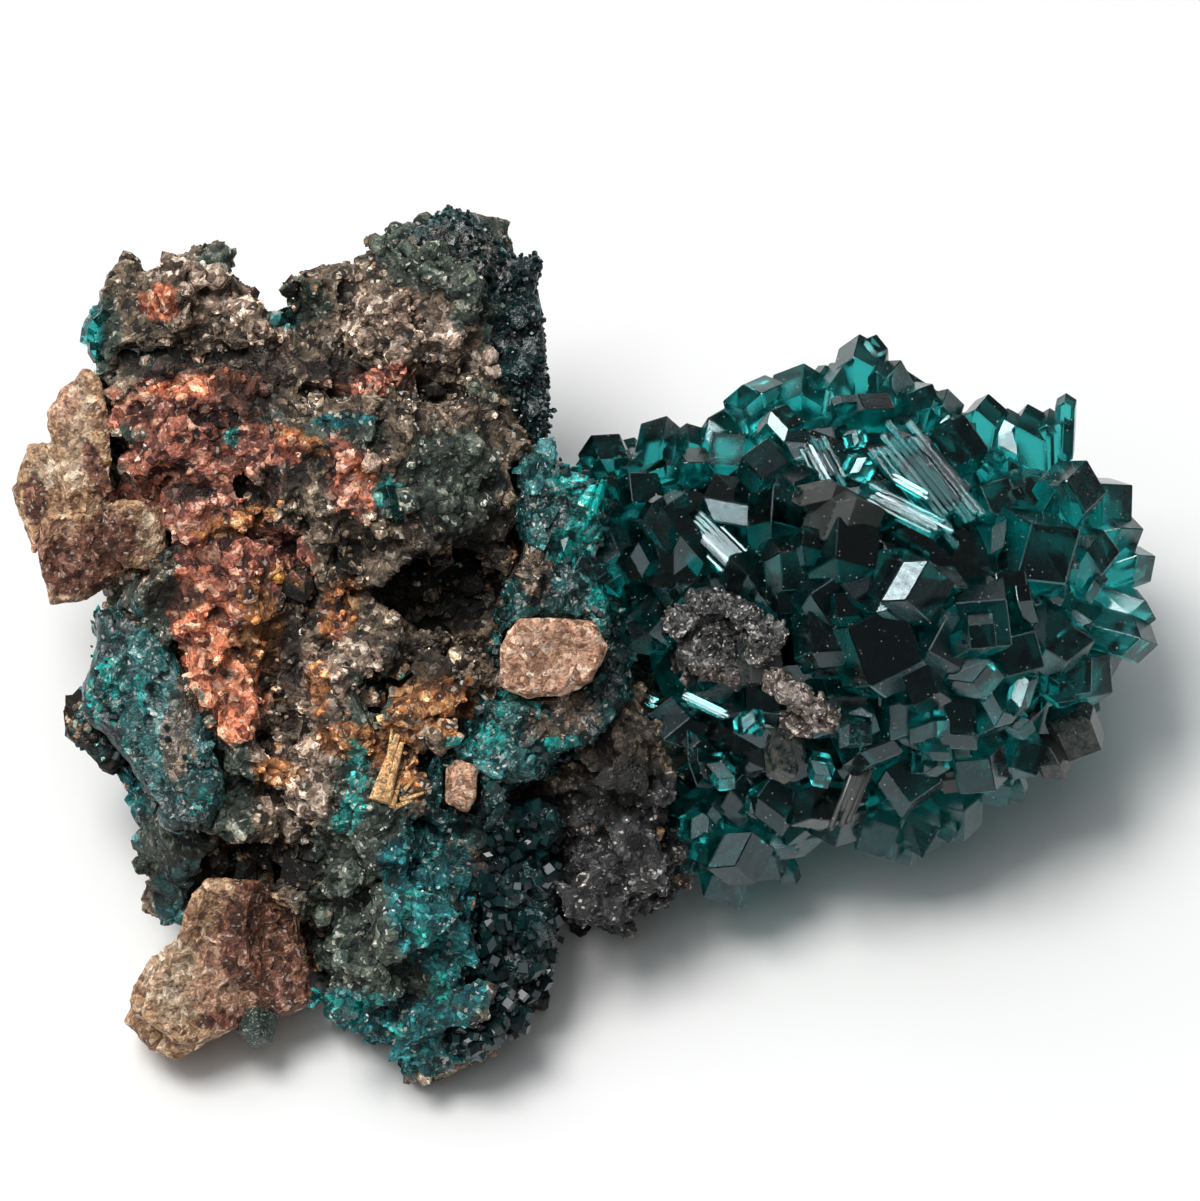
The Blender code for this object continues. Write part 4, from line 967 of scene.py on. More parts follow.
# Place, radius and length in mm, the way that the long axis runs on the show face in degrees from the right,
# how far it stands out of the face, and its spin.
CLUSTER_CRYSTALS = (
    (610, 468, 1.2, 3.6, 120, 20, 20), (632, 478, 1.0, 3.2, 70, 35, 0), (658, 456, 1.2, 3.8, 78, 15, 30),
    (682, 474, 1.2, 3.6, 20, 30, 10), (692, 454, 0.9, 3.0, 100, 20, 25), (757, 406, 1.2, 3.4, 40, 20, 15),
    (800, 405, 1.5, 4.0, 85, 20, 30), (772, 474, 1.3, 3.6, 150, 30, 10), (694, 546, 0.8, 3.2, 130, 20, 20),
    (756, 586, 1.3, 3.8, 130, 20, 30), (670, 520, 1.1, 3.2, 60, 30, 0), (640, 502, 1.2, 3.4, 110, 35, 15),
    (776, 522, 1.4, 3.8, 95, 35, 20), (790, 566, 1.5, 3.8, 30, 40, 0), (846, 562, 1.8, 4.2, 100, 25, 15),
    (861, 380, 1.3, 4.2, 92, 12, 15), (840, 398, 1.4, 3.8, 80, 30, 0), (880, 396, 1.3, 3.8, 60, 12, 20),
    (908, 413, 1.2, 3.6, 50, 20, 0), (868, 418, 1.2, 3.2, 20, 40, 10), (938, 424, 1.0, 3.4, 75, 15, 25),
    (960, 440, 1.25, 3.4, 35, 20, 10), (982, 430, 1.0, 3.4, 80, 15, 0), (1030, 450, 1.3, 4.2, 93, 10, 0),
    (1048, 452, 1.0, 4.0, 88, 10, 20), (1066, 496, 1.5, 3.8, 60, 15, 15), (1096, 506, 1.5, 3.8, 30, 12, 0),
    (1102, 536, 1.3, 3.8, 10, 12, 20), (1000, 510, 1.2, 3.4, 130, 35, 10), (1034, 552, 2.1, 4.4, 100, 62, 0),
    (1084, 562, 1.2, 3.8, 60, 30, 20), (1110, 632, 1.1, 4.4, -15, 10, 25), (936, 590, 1.2, 3.0, 4, 10, 25),
    (974, 616, 1.9, 4.0, 30, 50, 0), (1004, 598, 1.3, 3.4, 110, 45, 15), (1052, 640, 1.5, 4.2, 150, 35, 10),
    (880, 650, 2.3, 4.8, 145, 52, -12), (826, 640, 1.6, 3.8, 120, 40, 0), (950, 722, 1.4, 3.6, 110, 45, 0),
    (912, 706, 1.5, 3.8, 20, 40, 15), (1074, 674, 1.6, 3.9, 32, 25, 10), (976, 758, 1.4, 3.8, -60, 30, 10),
    (1012, 752, 1.2, 3.4, 10, 25, 0), (994, 774, 1.0, 3.2, -70, 15, 0), (952, 802, 1.5, 3.9, -75, 20, 15),
    (922, 816, 1.5, 3.9, -90, 20, 0), (884, 820, 1.5, 4.0, -80, 25, 10), (838, 808, 1.4, 3.8, -95, 25, 20),
    (905, 772, 1.7, 4.0, 60, 45, 0), (730, 868, 1.4, 3.8, -80, 15, 0), (762, 848, 1.2, 3.4, -60, 20, 15),
    (792, 828, 1.3, 4.0, 40, 20, 0), (816, 800, 1.3, 3.6, 20, 35, 0), (700, 764, 1.3, 3.8, 110, 30, 10),
    (734, 792, 1.4, 3.8, 60, 35, 20), (682, 730, 1.3, 3.6, 160, 15, 0), (672, 800, 1.2, 3.6, 160, 20, 0),
    (836, 706, 1.5, 3.6, 20, 40, 10), (826, 600, 1.5, 3.6, 60, 40, 0), (1122, 568, 1.0, 3.2, 20, 10, 10),
    (938, 640, 1.7, 3.8, 70, 50, 20), (1010, 650, 1.5, 3.8, 40, 45, 0), (862, 592, 1.4, 3.4, 150, 30, 10),
    (796, 490, 1.2, 3.0, 40, 30, 15), (772, 800, 1.4, 3.6, 80, 35, 0), (866, 740, 1.5, 3.6, 130, 40, 10),
)
# Crystals with a flat side that mirrors the light: place, radius, length, the way that it runs, how many
# degrees the side is off the full mirror, and how far it stands proud in mm.
LIT_CRYSTALS = (
    (724, 444, 1.6, 3.2, 84, 4, 0.5), (778, 428, 1.0, 1.9, 75, 3, 0.7), (731, 515, 1.75, 3.3, 111, 7, 0.9),
    (855, 438, 0.5, 1.2, 45, 7, 0.6), (858, 466, 0.65, 1.6, 5, 5, 0.7), (946, 430, 0.85, 2.0, 40, 1, 0.8),
    (1007, 437, 0.85, 2.9, 93, 1, 0.8), (1029, 440, 0.7, 2.2, 93, 9, 0.6), (904, 583, 1.7, 3.3, 2, 5, 1.7),
    (1108, 601, 1.0, 4.4, -20, 4, 0.6), (1019, 690, 0.55, 2.3, 75, 0, 1.3), (730, 850, 1.45, 3.9, 5, 9, 0.9),
    (660, 642, 0.5, 1.2, 30, 5, 1.2), (868, 356, 0.7, 2.2, 70, 10, 0.4), (800, 452, 0.8, 2.4, 118, 8, 0.5),
    (884, 604, 0.7, 1.6, 10, 1, 1.5), (1062, 560, 0.8, 2.4, 120, 10, 0.6), (990, 706, 1.2, 2.8, 60, 11, 0.7),
    (968, 670, 1.1, 3.2, -8, 10, 0.8), (930, 500, 0.7, 2.8, 128, 10, 0.4), (1078, 676, 1.4, 3.0, 32, 12, 0.5),
    (846, 562, 1.5, 3.4, 100, 14, 0.2), (830, 646, 1.3, 3.2, 120, 13, 0.4), (940, 646, 1.3, 3.0, 70, 14, 0.4),
    (905, 776, 1.3, 3.4, 60, 13, 0.4), (816, 806, 1.1, 3.0, 20, 12, 0.3), (1000, 536, 1.0, 2.8, 30, 12, 0.3),
    (774, 470, 1.1, 2.8, 150, 13, 0.4), (694, 792, 1.0, 2.8, 100, 12, 0.5), (640, 560, 0.9, 2.4, 60, 12, 0.5),
    (760, 800, 0.9, 2.6, 20, 10, 0.9), (858, 716, 0.8, 2.2, 150, 10, 1.0), (720, 770, 0.6, 2.0, 130, 8, 1.1),
    (900, 812, 0.8, 2.2, 60, 11, 0.8), (780, 840, 0.7, 2.2, 10, 9, 0.9), (676, 742, 0.6, 1.8, 80, 9, 1.0),
    (930, 760, 0.7, 2.0, 30, 9, 0.9), (820, 768, 0.6, 1.8, 110, 8, 1.1), (700, 824, 0.8, 2.4, 30, 10, 0.9),
    (1016, 722, 0.6, 1.8, -20, 9, 0.9), (748, 720, 0.5, 1.6, 40, 7, 1.4), (690, 700, 0.4, 1.4, 100, 6, 1.4),
)
# Crystals with a dull film on them, as in the first table.
FILMED_CRYSTALS = (
    (843, 518, 1.5, 3.7, 12, 8, 0), (1074, 728, 1.3, 3.2, -40, 25, 0), (1050, 756, 0.8, 2.4, -60, 15, 20),
    (926, 598, 0.9, 2.0, 80, 20, 10), (782, 754, 0.8, 2.7, 95, 15, 10), (944, 772, 0.6, 2.2, -50, 15, 0),
    (760, 660, 1.2, 2.6, 20, 50, 10), (700, 606, 0.9, 2.2, 40, 30, 0),
)
# Striated crystals: place, across and along in mm, the way that it runs, how many thin crystals, degrees off
# the full mirror, how far proud in mm, and if they are filmed.
STRIATED_CRYSTALS = (
    (924, 478, 2.3, 5.6, 128, 9, 7, 1.2, False), (908, 512, 0.9, 4.0, 152, 4, 5, 1.5, False),
    (722, 548, 1.5, 4.0, 134, 7, 1, 1.1, False), (862, 764, 0.8, 5.6, 69, 4, 7, 1.1, True),
    (644, 696, 0.45, 1.8, 153, 3, 2, 1.6, False), (704, 704, 0.4, 2.4, 153, 3, 3, 1.4, False),
    (822, 462, 1.3, 2.6, 118, 6, 5, 0.9, False), (908, 486, 0.4, 1.9, 148, 2, 0, 1.9, False),
    (796, 692, 0.7, 1.3, 20, 4, 9, 1.8, True), (766, 522, 0.5, 2.2, 100, 3, 6, 0.9, False),
)
# A six-sided crystal of radius 1: from its axis to a flat side, across two flat sides, and how steep the
# sides beside a flat one are.
FLAT_SIDE, ACROSS_FLATS, SIDE_SLOPE = 0.866, 1.7, 1.732
FILM_PROUD = 0.6
# The crystals that fill the gaps: how many spots are tried on each core, their radius, how much thicker they
# are on the hidden side, their length in radii, how much they lean, and how near they may stand to the placed
# crystals and to each other, as a share of both radii.
FILL_CRYSTALS = 64
FILL_RADIUS = (1.15, 1.7)
FILL_GROWTH_BEHIND = 1.5
FILL_LENGTH = 2.2
FILL_LEAN = 0.45
FILL_SPACING = (0.74, 0.84)
# Where the hidden side begins, how deep in another core a spot is left out, how large the cores' own bodies
# are, how low a spot may be, and how thick a smaller crystal beside another one is.
HIDDEN_SIDE = -0.1
INSIDE_CORE = 0.8
CORE_BODY = 0.96
LOWEST_CRYSTAL = 2.0 * MM
BESIDE = (0.36, 0.6)
CRYSTAL_SEED = 12
# The master crystal's half length, how far its edges are blunted, and the least half length of a copy, in
# radii. Then how far the pattern moves on from one crystal to the next.
MASTER_REACH = 2.0
MASTER_BLUNTING = 0.028
LEAST_REACH = 1.25
PATTERN_STEP = 7.3


def rhomb_ended(radius, reach):
    """A six-sided crystal whose three rhomb faces meet this many radii out at each end, left in edit mode."""
    deselect()
    bpy.ops.mesh.primitive_cylinder_add(vertices=6, radius=radius, depth=8 * radius, location=(0, 0, 0))
    crystal = bpy.context.object
    bpy.ops.object.mode_set(mode="EDIT")
    for end, first in ((1, 30), (-1, 90)):
        for side in range(3):
            azimuth = math.radians(first + 120 * side)
            normal = (math.sin(RHOMB_ANGLE) * math.cos(azimuth), math.sin(RHOMB_ANGLE) * math.sin(azimuth),
                      end * math.cos(RHOMB_ANGLE))
            bpy.ops.mesh.select_all(action="SELECT")
            bpy.ops.mesh.bisect(
                plane_co=(0, 0, reach * end * radius), plane_no=normal, use_fill=True, clear_outer=True)
    return crystal


def crystal_master():
    """One crystal, one unit in radius, with its edges barely blunted."""
    master = rhomb_ended(1.0, MASTER_REACH)
    master.name = "crystal_master"
    bpy.ops.mesh.select_all(action="SELECT")
    bpy.ops.mesh.bevel(offset=MASTER_BLUNTING, segments=1, affect="EDGES")
    bpy.ops.object.mode_set(mode="OBJECT")
    return master


def core_place(spec):
    x, y, out, half, roll = spec
    return on_show(x, y, out), FACE_TURN @ Matrix.Rotation(math.radians(roll), 3, "Z"), Vector(half) * MM


def seat(point):
    """Where the line of sight through the point meets the cores, or comes closest to them."""
    along = (EYE - point).normalized()
    found, closest = None, None
    for spec in CLUSTER_CORES.values():
        centre, turn, size = core_place(spec)
        begin = Vector(b / s for b, s in zip(turn.transposed() @ (point - centre), size))
        way = Vector(w / s for w, s in zip(turn.transposed() @ along, size))
        half_b, square = begin.dot(way), way.dot(way)
        root = half_b * half_b - square * (begin.dot(begin) - 1)
        miss = begin.dot(begin) - half_b * half_b / square
        if closest is None or miss < closest[0]:
            closest = (miss, -half_b / square)
        if root >= 0:
            travel = (-half_b + math.sqrt(root)) / square
            found = travel if found is None else max(found, travel)
    return point + along * (closest[1] if found is None else found)


def along_show(angle, stand=0.0):
    across = RIGHT * math.cos(math.radians(angle)) + UP * math.sin(math.radians(angle))
    return across * math.cos(math.radians(stand)) + OUT * math.sin(math.radians(stand))


MIRROR = (OUT + (KEY_PLACE - SHOW_MIDDLE).normalized()).normalized()


def off_mirror(degrees):
    """The way that a flat side faces when it is this far off the mirror of the light, to the lower right."""
    away = (RIGHT - UP).normalized()
    return (MIRROR + away * math.tan(math.radians(degrees))).normalized()


class Growth:
    """The crystals so far, each a copy of the master at its own size and turn."""

    def __init__(self, master):
        self.master = master
        self.made = []
        self.taken = []
        self.chance = random.Random(CRYSTAL_SEED)

    def stand(self, centre, radius, length, axis, flat, spin=0.0, filmed=False):
        """Sizes in mm. The flat side faces as near to flat as the axis lets it, before the spin."""
        mesh = self.master.data.copy()
        points = np.empty(len(mesh.vertices) * 3, np.float32)
        mesh.vertices.foreach_get("co", points)
        points = points.reshape(-1, 3).astype(np.float64)
        points[:, 2] += np.sign(points[:, 2]) * (max(length / radius / 2, LEAST_REACH) - MASTER_REACH)
        points *= radius
        grown = mesh.attributes.new("grown", "FLOAT_VECTOR", "POINT")
        own = points + np.array([[len(self.made) * PATTERN_STEP, 0, 0]])
        grown.data.foreach_set("vector", own.astype(np.float32).ravel())
        flat = (flat - axis * flat.dot(axis)).normalized()
        turn = Matrix((flat, axis.cross(flat), axis)).transposed()
        turn = turn @ Matrix.Rotation(math.radians(spin), 3, "Z")
        points = points * MM @ np.array(turn).T + np.array(centre)
        mesh.vertices.foreach_set("co", points.astype(np.float32).ravel())
        mesh.polygons.foreach_set("material_index", np.full(len(mesh.polygons), int(filmed), np.int32))
        self.made.append(new_piece(f"crystal_{len(self.made)}", mesh))

    def beside(self, centre, radius, length, axis, flat, spin, filmed=False):
        """A smaller crystal that grew out of this one's side, nearly in line with it."""
        turn = self.chance.uniform(0, 2 * math.pi)
        aside = axis.orthogonal().normalized()
        aside = aside * math.cos(turn) + axis.cross(aside) * math.sin(turn)
        small = radius * self.chance.uniform(*BESIDE)
        place = centre + (aside * radius * 0.85 + axis * self.chance.uniform(-0.3, 0.3) * length) * MM
        shorter = max(length * self.chance.uniform(0.4, 0.8), 2.6 * small)
        self.stand(place, small, shorter, axis, flat, spin, filmed)

    def striated(self, x, y, across, along, angle, count, off, proud, filmed):
        flat = off_mirror(off)
        axis = along_show(angle)
        axis = (axis - flat * axis.dot(flat)).normalized()
        aside = flat.cross(axis)
        radius = across / ACROSS_FLATS
        face = seat(on_show(x, y, 0)) + OUT * proud * MM
        centre = face - flat * FLAT_SIDE * radius * MM
        self.stand(centre, radius, along * 0.9, axis, flat, 0, filmed)
        self.taken.append((centre, radius, False))
        for number in range(count):
            step = ((number + 0.5) / count - 0.5) * across
            drop = min(FLAT_SIDE * radius, (radius - abs(step)) * SIDE_SLOPE)
            thin = across / count * self.chance.uniform(0.55, 0.8)
            place = centre + (flat * (drop - 0.62 * thin) + aside * step) * MM
            place = place + axis * self.chance.uniform(-0.09, 0.09) * along * MM
            spin = self.chance.uniform(-6, 6)
            self.stand(place, thin, along * self.chance.uniform(0.8, 1.05), axis, flat, spin, filmed)

    def fill(self):
        """Crystals spread evenly over the cores, wherever none is yet."""
        golden = math.pi * (3 - math.sqrt(5))
        cores = {name: core_place(spec) for name, spec in CLUSTER_CORES.items()}
        for name, (centre, turn, size) in cores.items():
            for step in range(FILL_CRYSTALS):
                drop = 1 - 2 * (step + 0.5) / FILL_CRYSTALS
                ring = math.sqrt(1 - drop * drop)
                unit = Vector((ring * math.cos(golden * step), ring * math.sin(golden * step), drop))
                point = centre + turn @ Vector(u * s for u, s in zip(unit, size))
                facing = (turn @ Vector(u / s for u, s in zip(unit, size))).normalized()
                radius = self.chance.uniform(*FILL_RADIUS)
                if facing.dot(OUT) < HIDDEN_SIDE:
                    radius *= FILL_GROWTH_BEHIND
                lean = Vector(self.chance.uniform(-1, 1) for _ in range(3)) * FILL_LEAN
                spin = self.chance.uniform(0, 120)
                crowded = any((point - other).length < FILL_SPACING[filled] * (radius + wide) * MM
                              for other, wide, filled in self.taken)
                inside = any(
                    sum((a / s) ** 2 for a, s in zip(t.transposed() @ (point - c), half)) < INSIDE_CORE
                    for other, (c, t, half) in cores.items() if other != name)
                if crowded or inside or point.z < LOWEST_CRYSTAL:
                    continue
                self.taken.append((point, radius, True))
                axis = (facing + lean).normalized()
                self.stand(point, radius, radius * FILL_LENGTH, axis, OUT, spin)
                if step % 2:
                    self.beside(point, radius, radius * FILL_LENGTH, axis, OUT, spin)


def dioptase_finish():
    made, add, shader, link = new_material("dioptase_crystal")
    shader.inputs["Base Color"].default_value = (0.08, 0.55, 0.54, 1)
    shader.inputs["Transmission Weight"].default_value = 1.0
    shader.inputs["IOR"].default_value = 1.66
    shader.inputs["Specular Tint"].default_value = (0.74, 0.93, 1.0, 1)
    grown = add("ShaderNodeAttribute", attribute_name="grown")
    thin = add("ShaderNodeMapping", [(grown.outputs["Vector"], "Vector")], in_Scale=(1.0, 1.0, 0.05))
    lines = add("ShaderNodeTexNoise", [(thin.outputs[0], "Vector")], in_Scale=7.0, in_Detail=4.0,
                in_Roughness=0.6)
    spots = add("ShaderNodeTexNoise", [(grown.outputs["Vector"], "Vector")], in_Scale=1.6, in_Detail=6.0,
                in_Roughness=0.75)
    rough = add("ShaderNodeMapRange", [(spots.outputs["Fac"], "Value")], in_From_Min=0.45, in_From_Max=0.75,
                in_To_Min=0.08, in_To_Max=0.26)
    link(rough.outputs[0], shader.inputs["Roughness"])
    both = add("ShaderNodeMath", [(lines.outputs["Fac"], 0), (spots.outputs["Fac"], 1)], operation="ADD")
    bump = add("ShaderNodeBump", [(both.outputs[0], "Height")], in_Strength=0.5, in_Distance=0.006 * MM)
    link(bump.outputs[0], shader.inputs["Normal"])
    depth = add("ShaderNodeVolumeAbsorption", in_Color=(0.0, 0.72, 0.72, 1), in_Density=460.0)
    link(depth.outputs[0], made.node_tree.nodes["Material Output"].inputs["Volume"])
    return made


def film_finish():
    made, add, shader, link = new_material("dull_film")
    grown = add("ShaderNodeAttribute", attribute_name="grown")
    thin = add("ShaderNodeMapping", [(grown.outputs["Vector"], "Vector")], in_Scale=(1.0, 1.0, 0.07))
    lines = add("ShaderNodeTexNoise", [(thin.outputs[0], "Vector")], in_Scale=9.0, in_Detail=5.0,
                in_Roughness=0.7)
    spots = add("ShaderNodeTexNoise", [(grown.outputs["Vector"], "Vector")], in_Scale=2.2, in_Detail=7.0,
                in_Roughness=0.8)
    thick = add("ShaderNodeMapRange", [(spots.outputs["Fac"], "Value")], in_From_Min=0.42, in_From_Max=0.72)
    film = add("ShaderNodeMix", [(thick.outputs[0], "Factor")], data_type="RGBA",
               in_6=(0.0, 0.012, 0.014, 1), in_7=(0.13, 0.115, 0.10, 1))
    link(film.outputs[2], shader.inputs["Base Color"])
    shader.inputs["Roughness"].default_value = 0.2
    bump = add("ShaderNodeBump", [(lines.outputs["Fac"], "Height")], in_Strength=0.5, in_Distance=0.03 * MM)
    link(bump.outputs[0], shader.inputs["Normal"])
    return made


growth = Growth(crystal_master())
for table, filmed in ((CLUSTER_CRYSTALS, False), (FILMED_CRYSTALS, True)):
    for x, y, radius, length, angle, lean, spin in table:
        centre, axis = seat(on_show(x, y, 0)), along_show(angle, lean)
        if filmed:
            centre = centre + OUT * FILM_PROUD * MM
        growth.stand(centre, radius, length, axis, OUT, spin, filmed)
        growth.beside(centre, radius, length, axis, OUT, spin, filmed)
        growth.taken.append((centre, radius, False))
for x, y, radius, length, angle, off, proud in LIT_CRYSTALS:
    flat, axis = off_mirror(off), along_show(angle)
    axis = (axis - flat * axis.dot(flat)).normalized()
    centre = seat(on_show(x, y, 0)) + (OUT * proud - flat * 0.5 * radius) * MM
    growth.stand(centre, radius, length, axis, flat)
    growth.taken.append((centre, radius, False))
for row in STRIATED_CRYSTALS:
    growth.striated(*row)
growth.fill()
bodies = [rounded_lump(name, (x, y, out, tuple(size * CORE_BODY for size in half), roll))
          for name, (x, y, out, half, roll) in CLUSTER_CORES.items()]
cluster = bodies[0]
cluster.name = "dioptase_crystals"
fused = cluster.modifiers.new("fused", "BOOLEAN")
fused.operation = "UNION"
fused.solver = "MANIFOLD"
fused.operand_type = "COLLECTION"
cluster_forms = kept_aside("cluster_forms", growth.made + bodies[1:])
fused.collection = cluster_forms
finish_modifiers(cluster)
for spare in growth.made + bodies[1:] + [growth.master]:
    bpy.data.objects.remove(spare)
bpy.data.collections.remove(cluster_forms)
dressed(cluster, (dioptase_finish(), film_finish()), "dioptase_cluster")


# The small crystals of dioptase that line the crusts, thickest on the tower and on the lower column. They are
# as dark as the cluster's, and each sits with its foot in the skin.
# For each crust: how many to the square mm, and their smallest and largest radius in mm.
DRUSE = {
    "dioptase_tower": (10.0, (0.04, 0.14)),
    "dioptase_left_crust": (0.8, (0.07, 0.20)),
    "dioptase_front_crust": (0.8, (0.07, 0.24)),
    "dioptase_lower_druse": (5.0, (0.08, 0.36)),
}


def druse_finish():
    made, add, shader, link = new_material("druse_crystal")
    tint = add("ShaderNodeAttribute", attribute_name="tint")
    shade = add("ShaderNodeMix", [(tint.outputs["Fac"], "Factor")], data_type="RGBA",
                in_6=(0.001, 0.005, 0.006, 1), in_7=(0.003, 0.024, 0.026, 1))
    link(shade.outputs[2], shader.inputs["Base Color"])
    shader.inputs["Roughness"].default_value = 0.3
    shader.inputs["IOR"].default_value = 1.6
    return made


druse_crystal = druse_finish()
for number, (node, (density, sizes)) in enumerate(DRUSE.items()):
    druse = copy_of_solid(node, node + "_crystals")
    stock = []
    for reach in (1.0, 1.6):
        stock.append(rhomb_ended(MM, reach))
        bpy.ops.object.mode_set(mode="OBJECT")
    grown_over(druse, kept_aside(node + "_stock", stock), density, sizes, 60 + number, upright=0.8,
               keep=False)
    dressed(druse, (druse_crystal,), None)


# The two weathered patches on the cluster: a grey, plated crust round a dark pit, and a brownish lump below
# it. They are what is left of an earlier mineral, grown fast to the crystals. For each lump: its place, how
# far proud in mm, half sizes in mm, and roll.
WEATHERED_GRAIN = 0.10 * MM
WEATHERED_LUMPS = (
    (684, 618, 1.4, (0.9, 0.6, 0.5), 30), (714, 602, 1.6, (1.1, 0.5, 0.5), -8),
    (744, 614, 1.6, (1.0, 0.6, 0.5), -30), (758, 644, 1.4, (0.6, 1.0, 0.5), 0),
    (744, 674, 1.3, (1.0, 0.5, 0.5), 20), (706, 680, 1.3, (1.1, 0.5, 0.5), -6),
    (682, 652, 1.3, (0.6, 0.9, 0.5), 0), (716, 642, 0.9, (1.8, 1.5, 0.6), 0),
    (770, 634, 1.1, (0.6, 0.8, 0.4), 0), (792, 692, 1.8, (0.9, 0.55, 0.8), -14),
    (820, 712, 1.6, (1.0, 0.6, 0.8), -24), (776, 680, 1.5, (0.6, 0.5, 0.7), 0),
    (800, 722, 1.3, (0.8, 0.6, 0.7), 0), (846, 730, 1.2, (0.6, 0.5, 0.6), -20),
)
WEATHERED_RELIEF = (("STEPS", 0.7, 0.4, 0.4), ("STEPS", 0.28, 0.14, 0.4))
WEATHERED_COLOURS = {
    "brownish": ((806, 706, 60, 44, -20), (700, 680, 40, 12, 0)),
    "pale": ((792, 694, 26, 14, -14),),
}
PLATE_SHAPE = (1.0, 0.8, 0.35)


def weathered_finish():
    made, add, shader, link = new_material("weathered_crust")
    rock = grains(add, 0.24, 0.4)
    base = stained(add, rock, (0.010, 0.010, 0.010), (0.050, 0.049, 0.048), (0.20, 0.19, 0.185), 0.24)
    brown = stained(add, rock, (0.022, 0.016, 0.014), (0.095, 0.070, 0.060), (0.28, 0.23, 0.20), 0.26)
    pale = stained(add, rock, (0.06, 0.05, 0.045), (0.22, 0.18, 0.16), (0.42, 0.37, 0.33), 0.3)
    colour = patched(add, base, (
        ("brownish", brown, 0.8, 1.2, 0.9),
        ("pale", pale, 0.5, 1.8, 0.8),
    ))
    # Painted shade in the creases and painted highlight on the ridges.
    link(with_painted_crease_light(add, colour, 0.12, 2.2), shader.inputs["Base Color"])
    shader.inputs["Roughness"].default_value = 0.42
    grain_relief(add, link, shader, rock, 0.8, 0.1)
    return made


lumps = []
for number, (x, y, proud, half, roll) in enumerate(WEATHERED_LUMPS):
    lump = rounded_lump(f"weathered_{number}", (*SHOW_CENTRE, 0, half, roll))
    move = seat(on_show(x, y, 0)) + OUT * proud * MM - on_show(*SHOW_CENTRE, 0)
    lump.data.transform(Matrix.Translation(move))
    lumps.append(lump)
weathered_crust = run_together(*lumps)
weathered_crust.name = "weathered_crust"
plates = []
for number in range(3):
    plate = shard(f"plate_{number}", 80 + number, rough=0.3)
    plate.data.transform(Matrix.Diagonal((*PLATE_SHAPE, 1.0)))
    plates.append(plate)
remeshed(weathered_crust, WEATHERED_GRAIN)
weathered(weathered_crust, WEATHERED_RELIEF, smooth=1)
weathered_plates = new_piece("weathered_plates", weathered_crust.data.copy())
grown_over(weathered_plates, kept_aside("plates", plates), 4.5, (0.14, 0.42), 85, upright=1.2, keep=False)
weathered_look = weathered_finish()
for piece in (weathered_crust, weathered_plates):
    coloured(piece, WEATHERED_COLOURS)
    dressed(piece, (weathered_look,), None)


# The fibrous splinter of rust-stained silica on the lower column, and a few lone grains: pale ones below the
# tower and on the boulder, a yellow one in the red rock, a rusty one on the tower, a dark green one under the
# calcite foot. All are grown fast to the gossan. For each fibre: where it begins and ends, and its radius.
SPLINTER_FIBRES = (
    (376, 800, 398, 734, 0.36), (384, 802, 402, 742, 0.30), (392, 806, 406, 760, 0.16),
    (386, 782, 392, 728, 0.14), (400, 800, 424, 792, 0.15), (396, 806, 412, 800, 0.12),
    (404, 790, 416, 776, 0.10),
)
SPLINTER_OUT = 4.4
# For each grain: its place, how far out it stands if the line of sight misses the rock, radius, colour.
LONE_GRAINS = (
    (508, 498, 7.2, 0.40, (0.62, 0.50, 0.33)), (491, 356, 3.7, 0.42, (0.60, 0.45, 0.38)),
    (279, 577, 5.9, 0.30, (0.70, 0.33, 0.06)), (371, 462, 8.0, 0.50, (0.66, 0.46, 0.35)),
    (497, 372, 3.7, 0.34, (0.56, 0.44, 0.36)), (440, 228, 1.7, 0.3, (0.45, 0.20, 0.09)),
    (258, 1024, 1.4, 1.1, (0.030, 0.050, 0.042)),
)


def plain_grain(name, colour):
    made, add, shader, link = new_material(name)
    dark, light = tuple(c * 0.45 for c in colour), tuple(min(1, c * 1.5) for c in colour)
    rock = grains(add, 0.16)
    link(stained(add, rock, dark, colour, light, 0.3), shader.inputs["Base Color"])
    shader.inputs["Roughness"].default_value = 0.5
    grain_relief(add, link, shader, rock, 0.8, 0.08, glinting=False)
    return made


def surface_at(x, y, default_out):
    """Where the line of sight through the grid point meets the finished gossan."""
    far = on_show(x, y, 0)
    hit, place, *_ = gossan.ray_cast(EYE, (far - EYE).normalized())
    return place if hit else on_show(x, y, default_out)


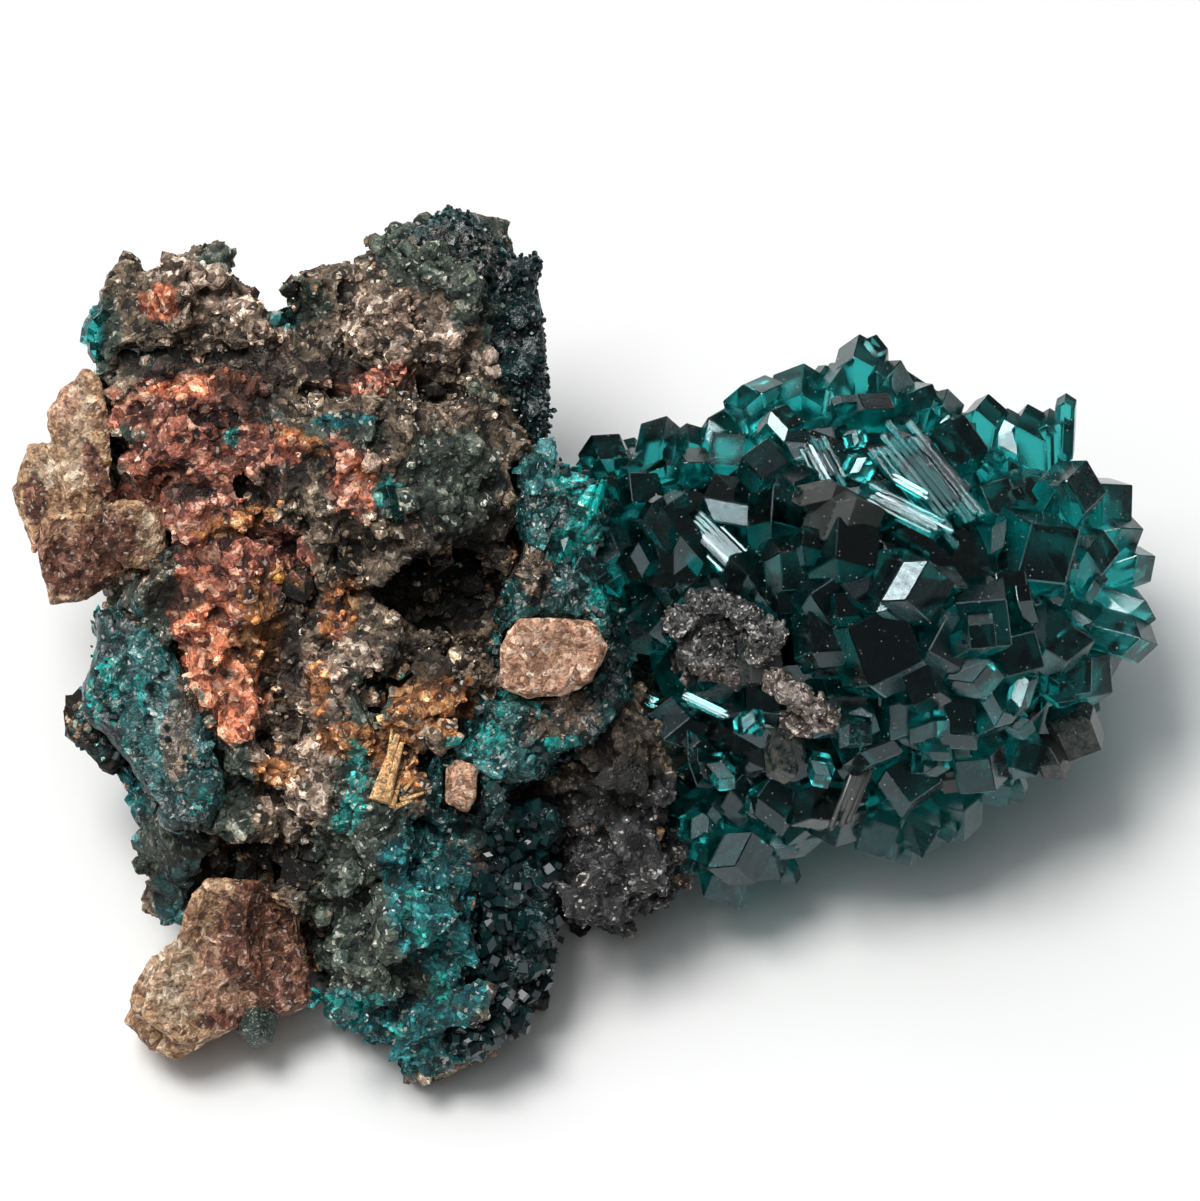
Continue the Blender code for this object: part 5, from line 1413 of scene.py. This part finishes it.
fibres = []
for number, (x0, y0, x1, y1, radius) in enumerate(SPLINTER_FIBRES):
    start = surface_at(x0, y0, SPLINTER_OUT) + OUT * 0.25 * MM
    end = surface_at(x1, y1, SPLINTER_OUT) + OUT * 0.35 * MM
    deselect()
    bpy.ops.mesh.primitive_cone_add(vertices=7, radius1=radius * MM, radius2=radius * 0.35 * MM,
                                    depth=(end - start).length, location=(0, 0, 0))
    fibre = bpy.context.object
    turn = (end - start).to_track_quat("Z", "Y").to_matrix().to_4x4()
    fibre.data.transform(Matrix.Translation((start + end) / 2) @ turn)
    fibres.append(fibre)
splinter = run_together(*fibres)
splinter.name = "fibrous_splinter"
dressed(splinter, (plain_grain("splinter_fibre", (0.78, 0.44, 0.19)),), None)
for number, (x, y, out, size, colour) in enumerate(LONE_GRAINS):
    lone = shard(f"lone_grain_{number}", 90 + number, rough=0.3)
    lone.data.transform(Matrix.Scale(size, 4))
    lone.data.transform(Matrix.Translation(surface_at(x, y, out) + OUT * size * 0.3 * MM))
    dressed(lone, (plain_grain(f"lone_{number}", colour),), None)


# Lone green crystals on the gossan: at the knob's left edge, in the saddle, beside the boulder, by the front
# chip and at the column's toe. Then the pale dust that lies on the cluster, as it does on any specimen with
# calcite: crumbs of a few hundredths of a millimetre. For each crystal: place, radius, length, direction.
SIDE_CRYSTALS = (
    (90, 332, 0.42, 1.5, 80), (96, 352, 0.34, 1.2, 120), (102, 318, 0.30, 1.0, 40), (278, 322, 0.45, 1.2, 60),
    (288, 316, 0.30, 1.0, 100), (388, 498, 0.55, 1.4, 100), (396, 512, 0.4, 1.1, 60),
    (468, 742, 0.3, 0.9, 60), (446, 752, 0.32, 1.0, 120), (352, 1008, 0.5, 1.4, -100),
    (312, 998, 0.4, 1.1, -140),
)
side_growth = Growth(crystal_master())
for x, y, radius, length, angle in SIDE_CRYSTALS:
    place = surface_at(x, y, 1.0) - OUT * radius * 0.3 * MM
    side_growth.stand(place, radius, length, along_show(angle, 30), OUT, 10 * angle % 60)
side_crystals = run_together(*side_growth.made)
side_crystals.name = "side_crystals"
bpy.data.objects.remove(side_growth.master)
dressed(side_crystals, (cluster.data.materials[0],), None)

dust = new_piece("dust", cluster.data.copy())
dust_stock = kept_aside("dust_stock", [shard(f"dust_{n}", 70 + n) for n in range(3)])
grown_over(dust, dust_stock, 1.6, (0.014, 0.034), 71, keep=False)
dressed(dust, (plain_grain("pale_dust", (0.55, 0.53, 0.50)),), None)
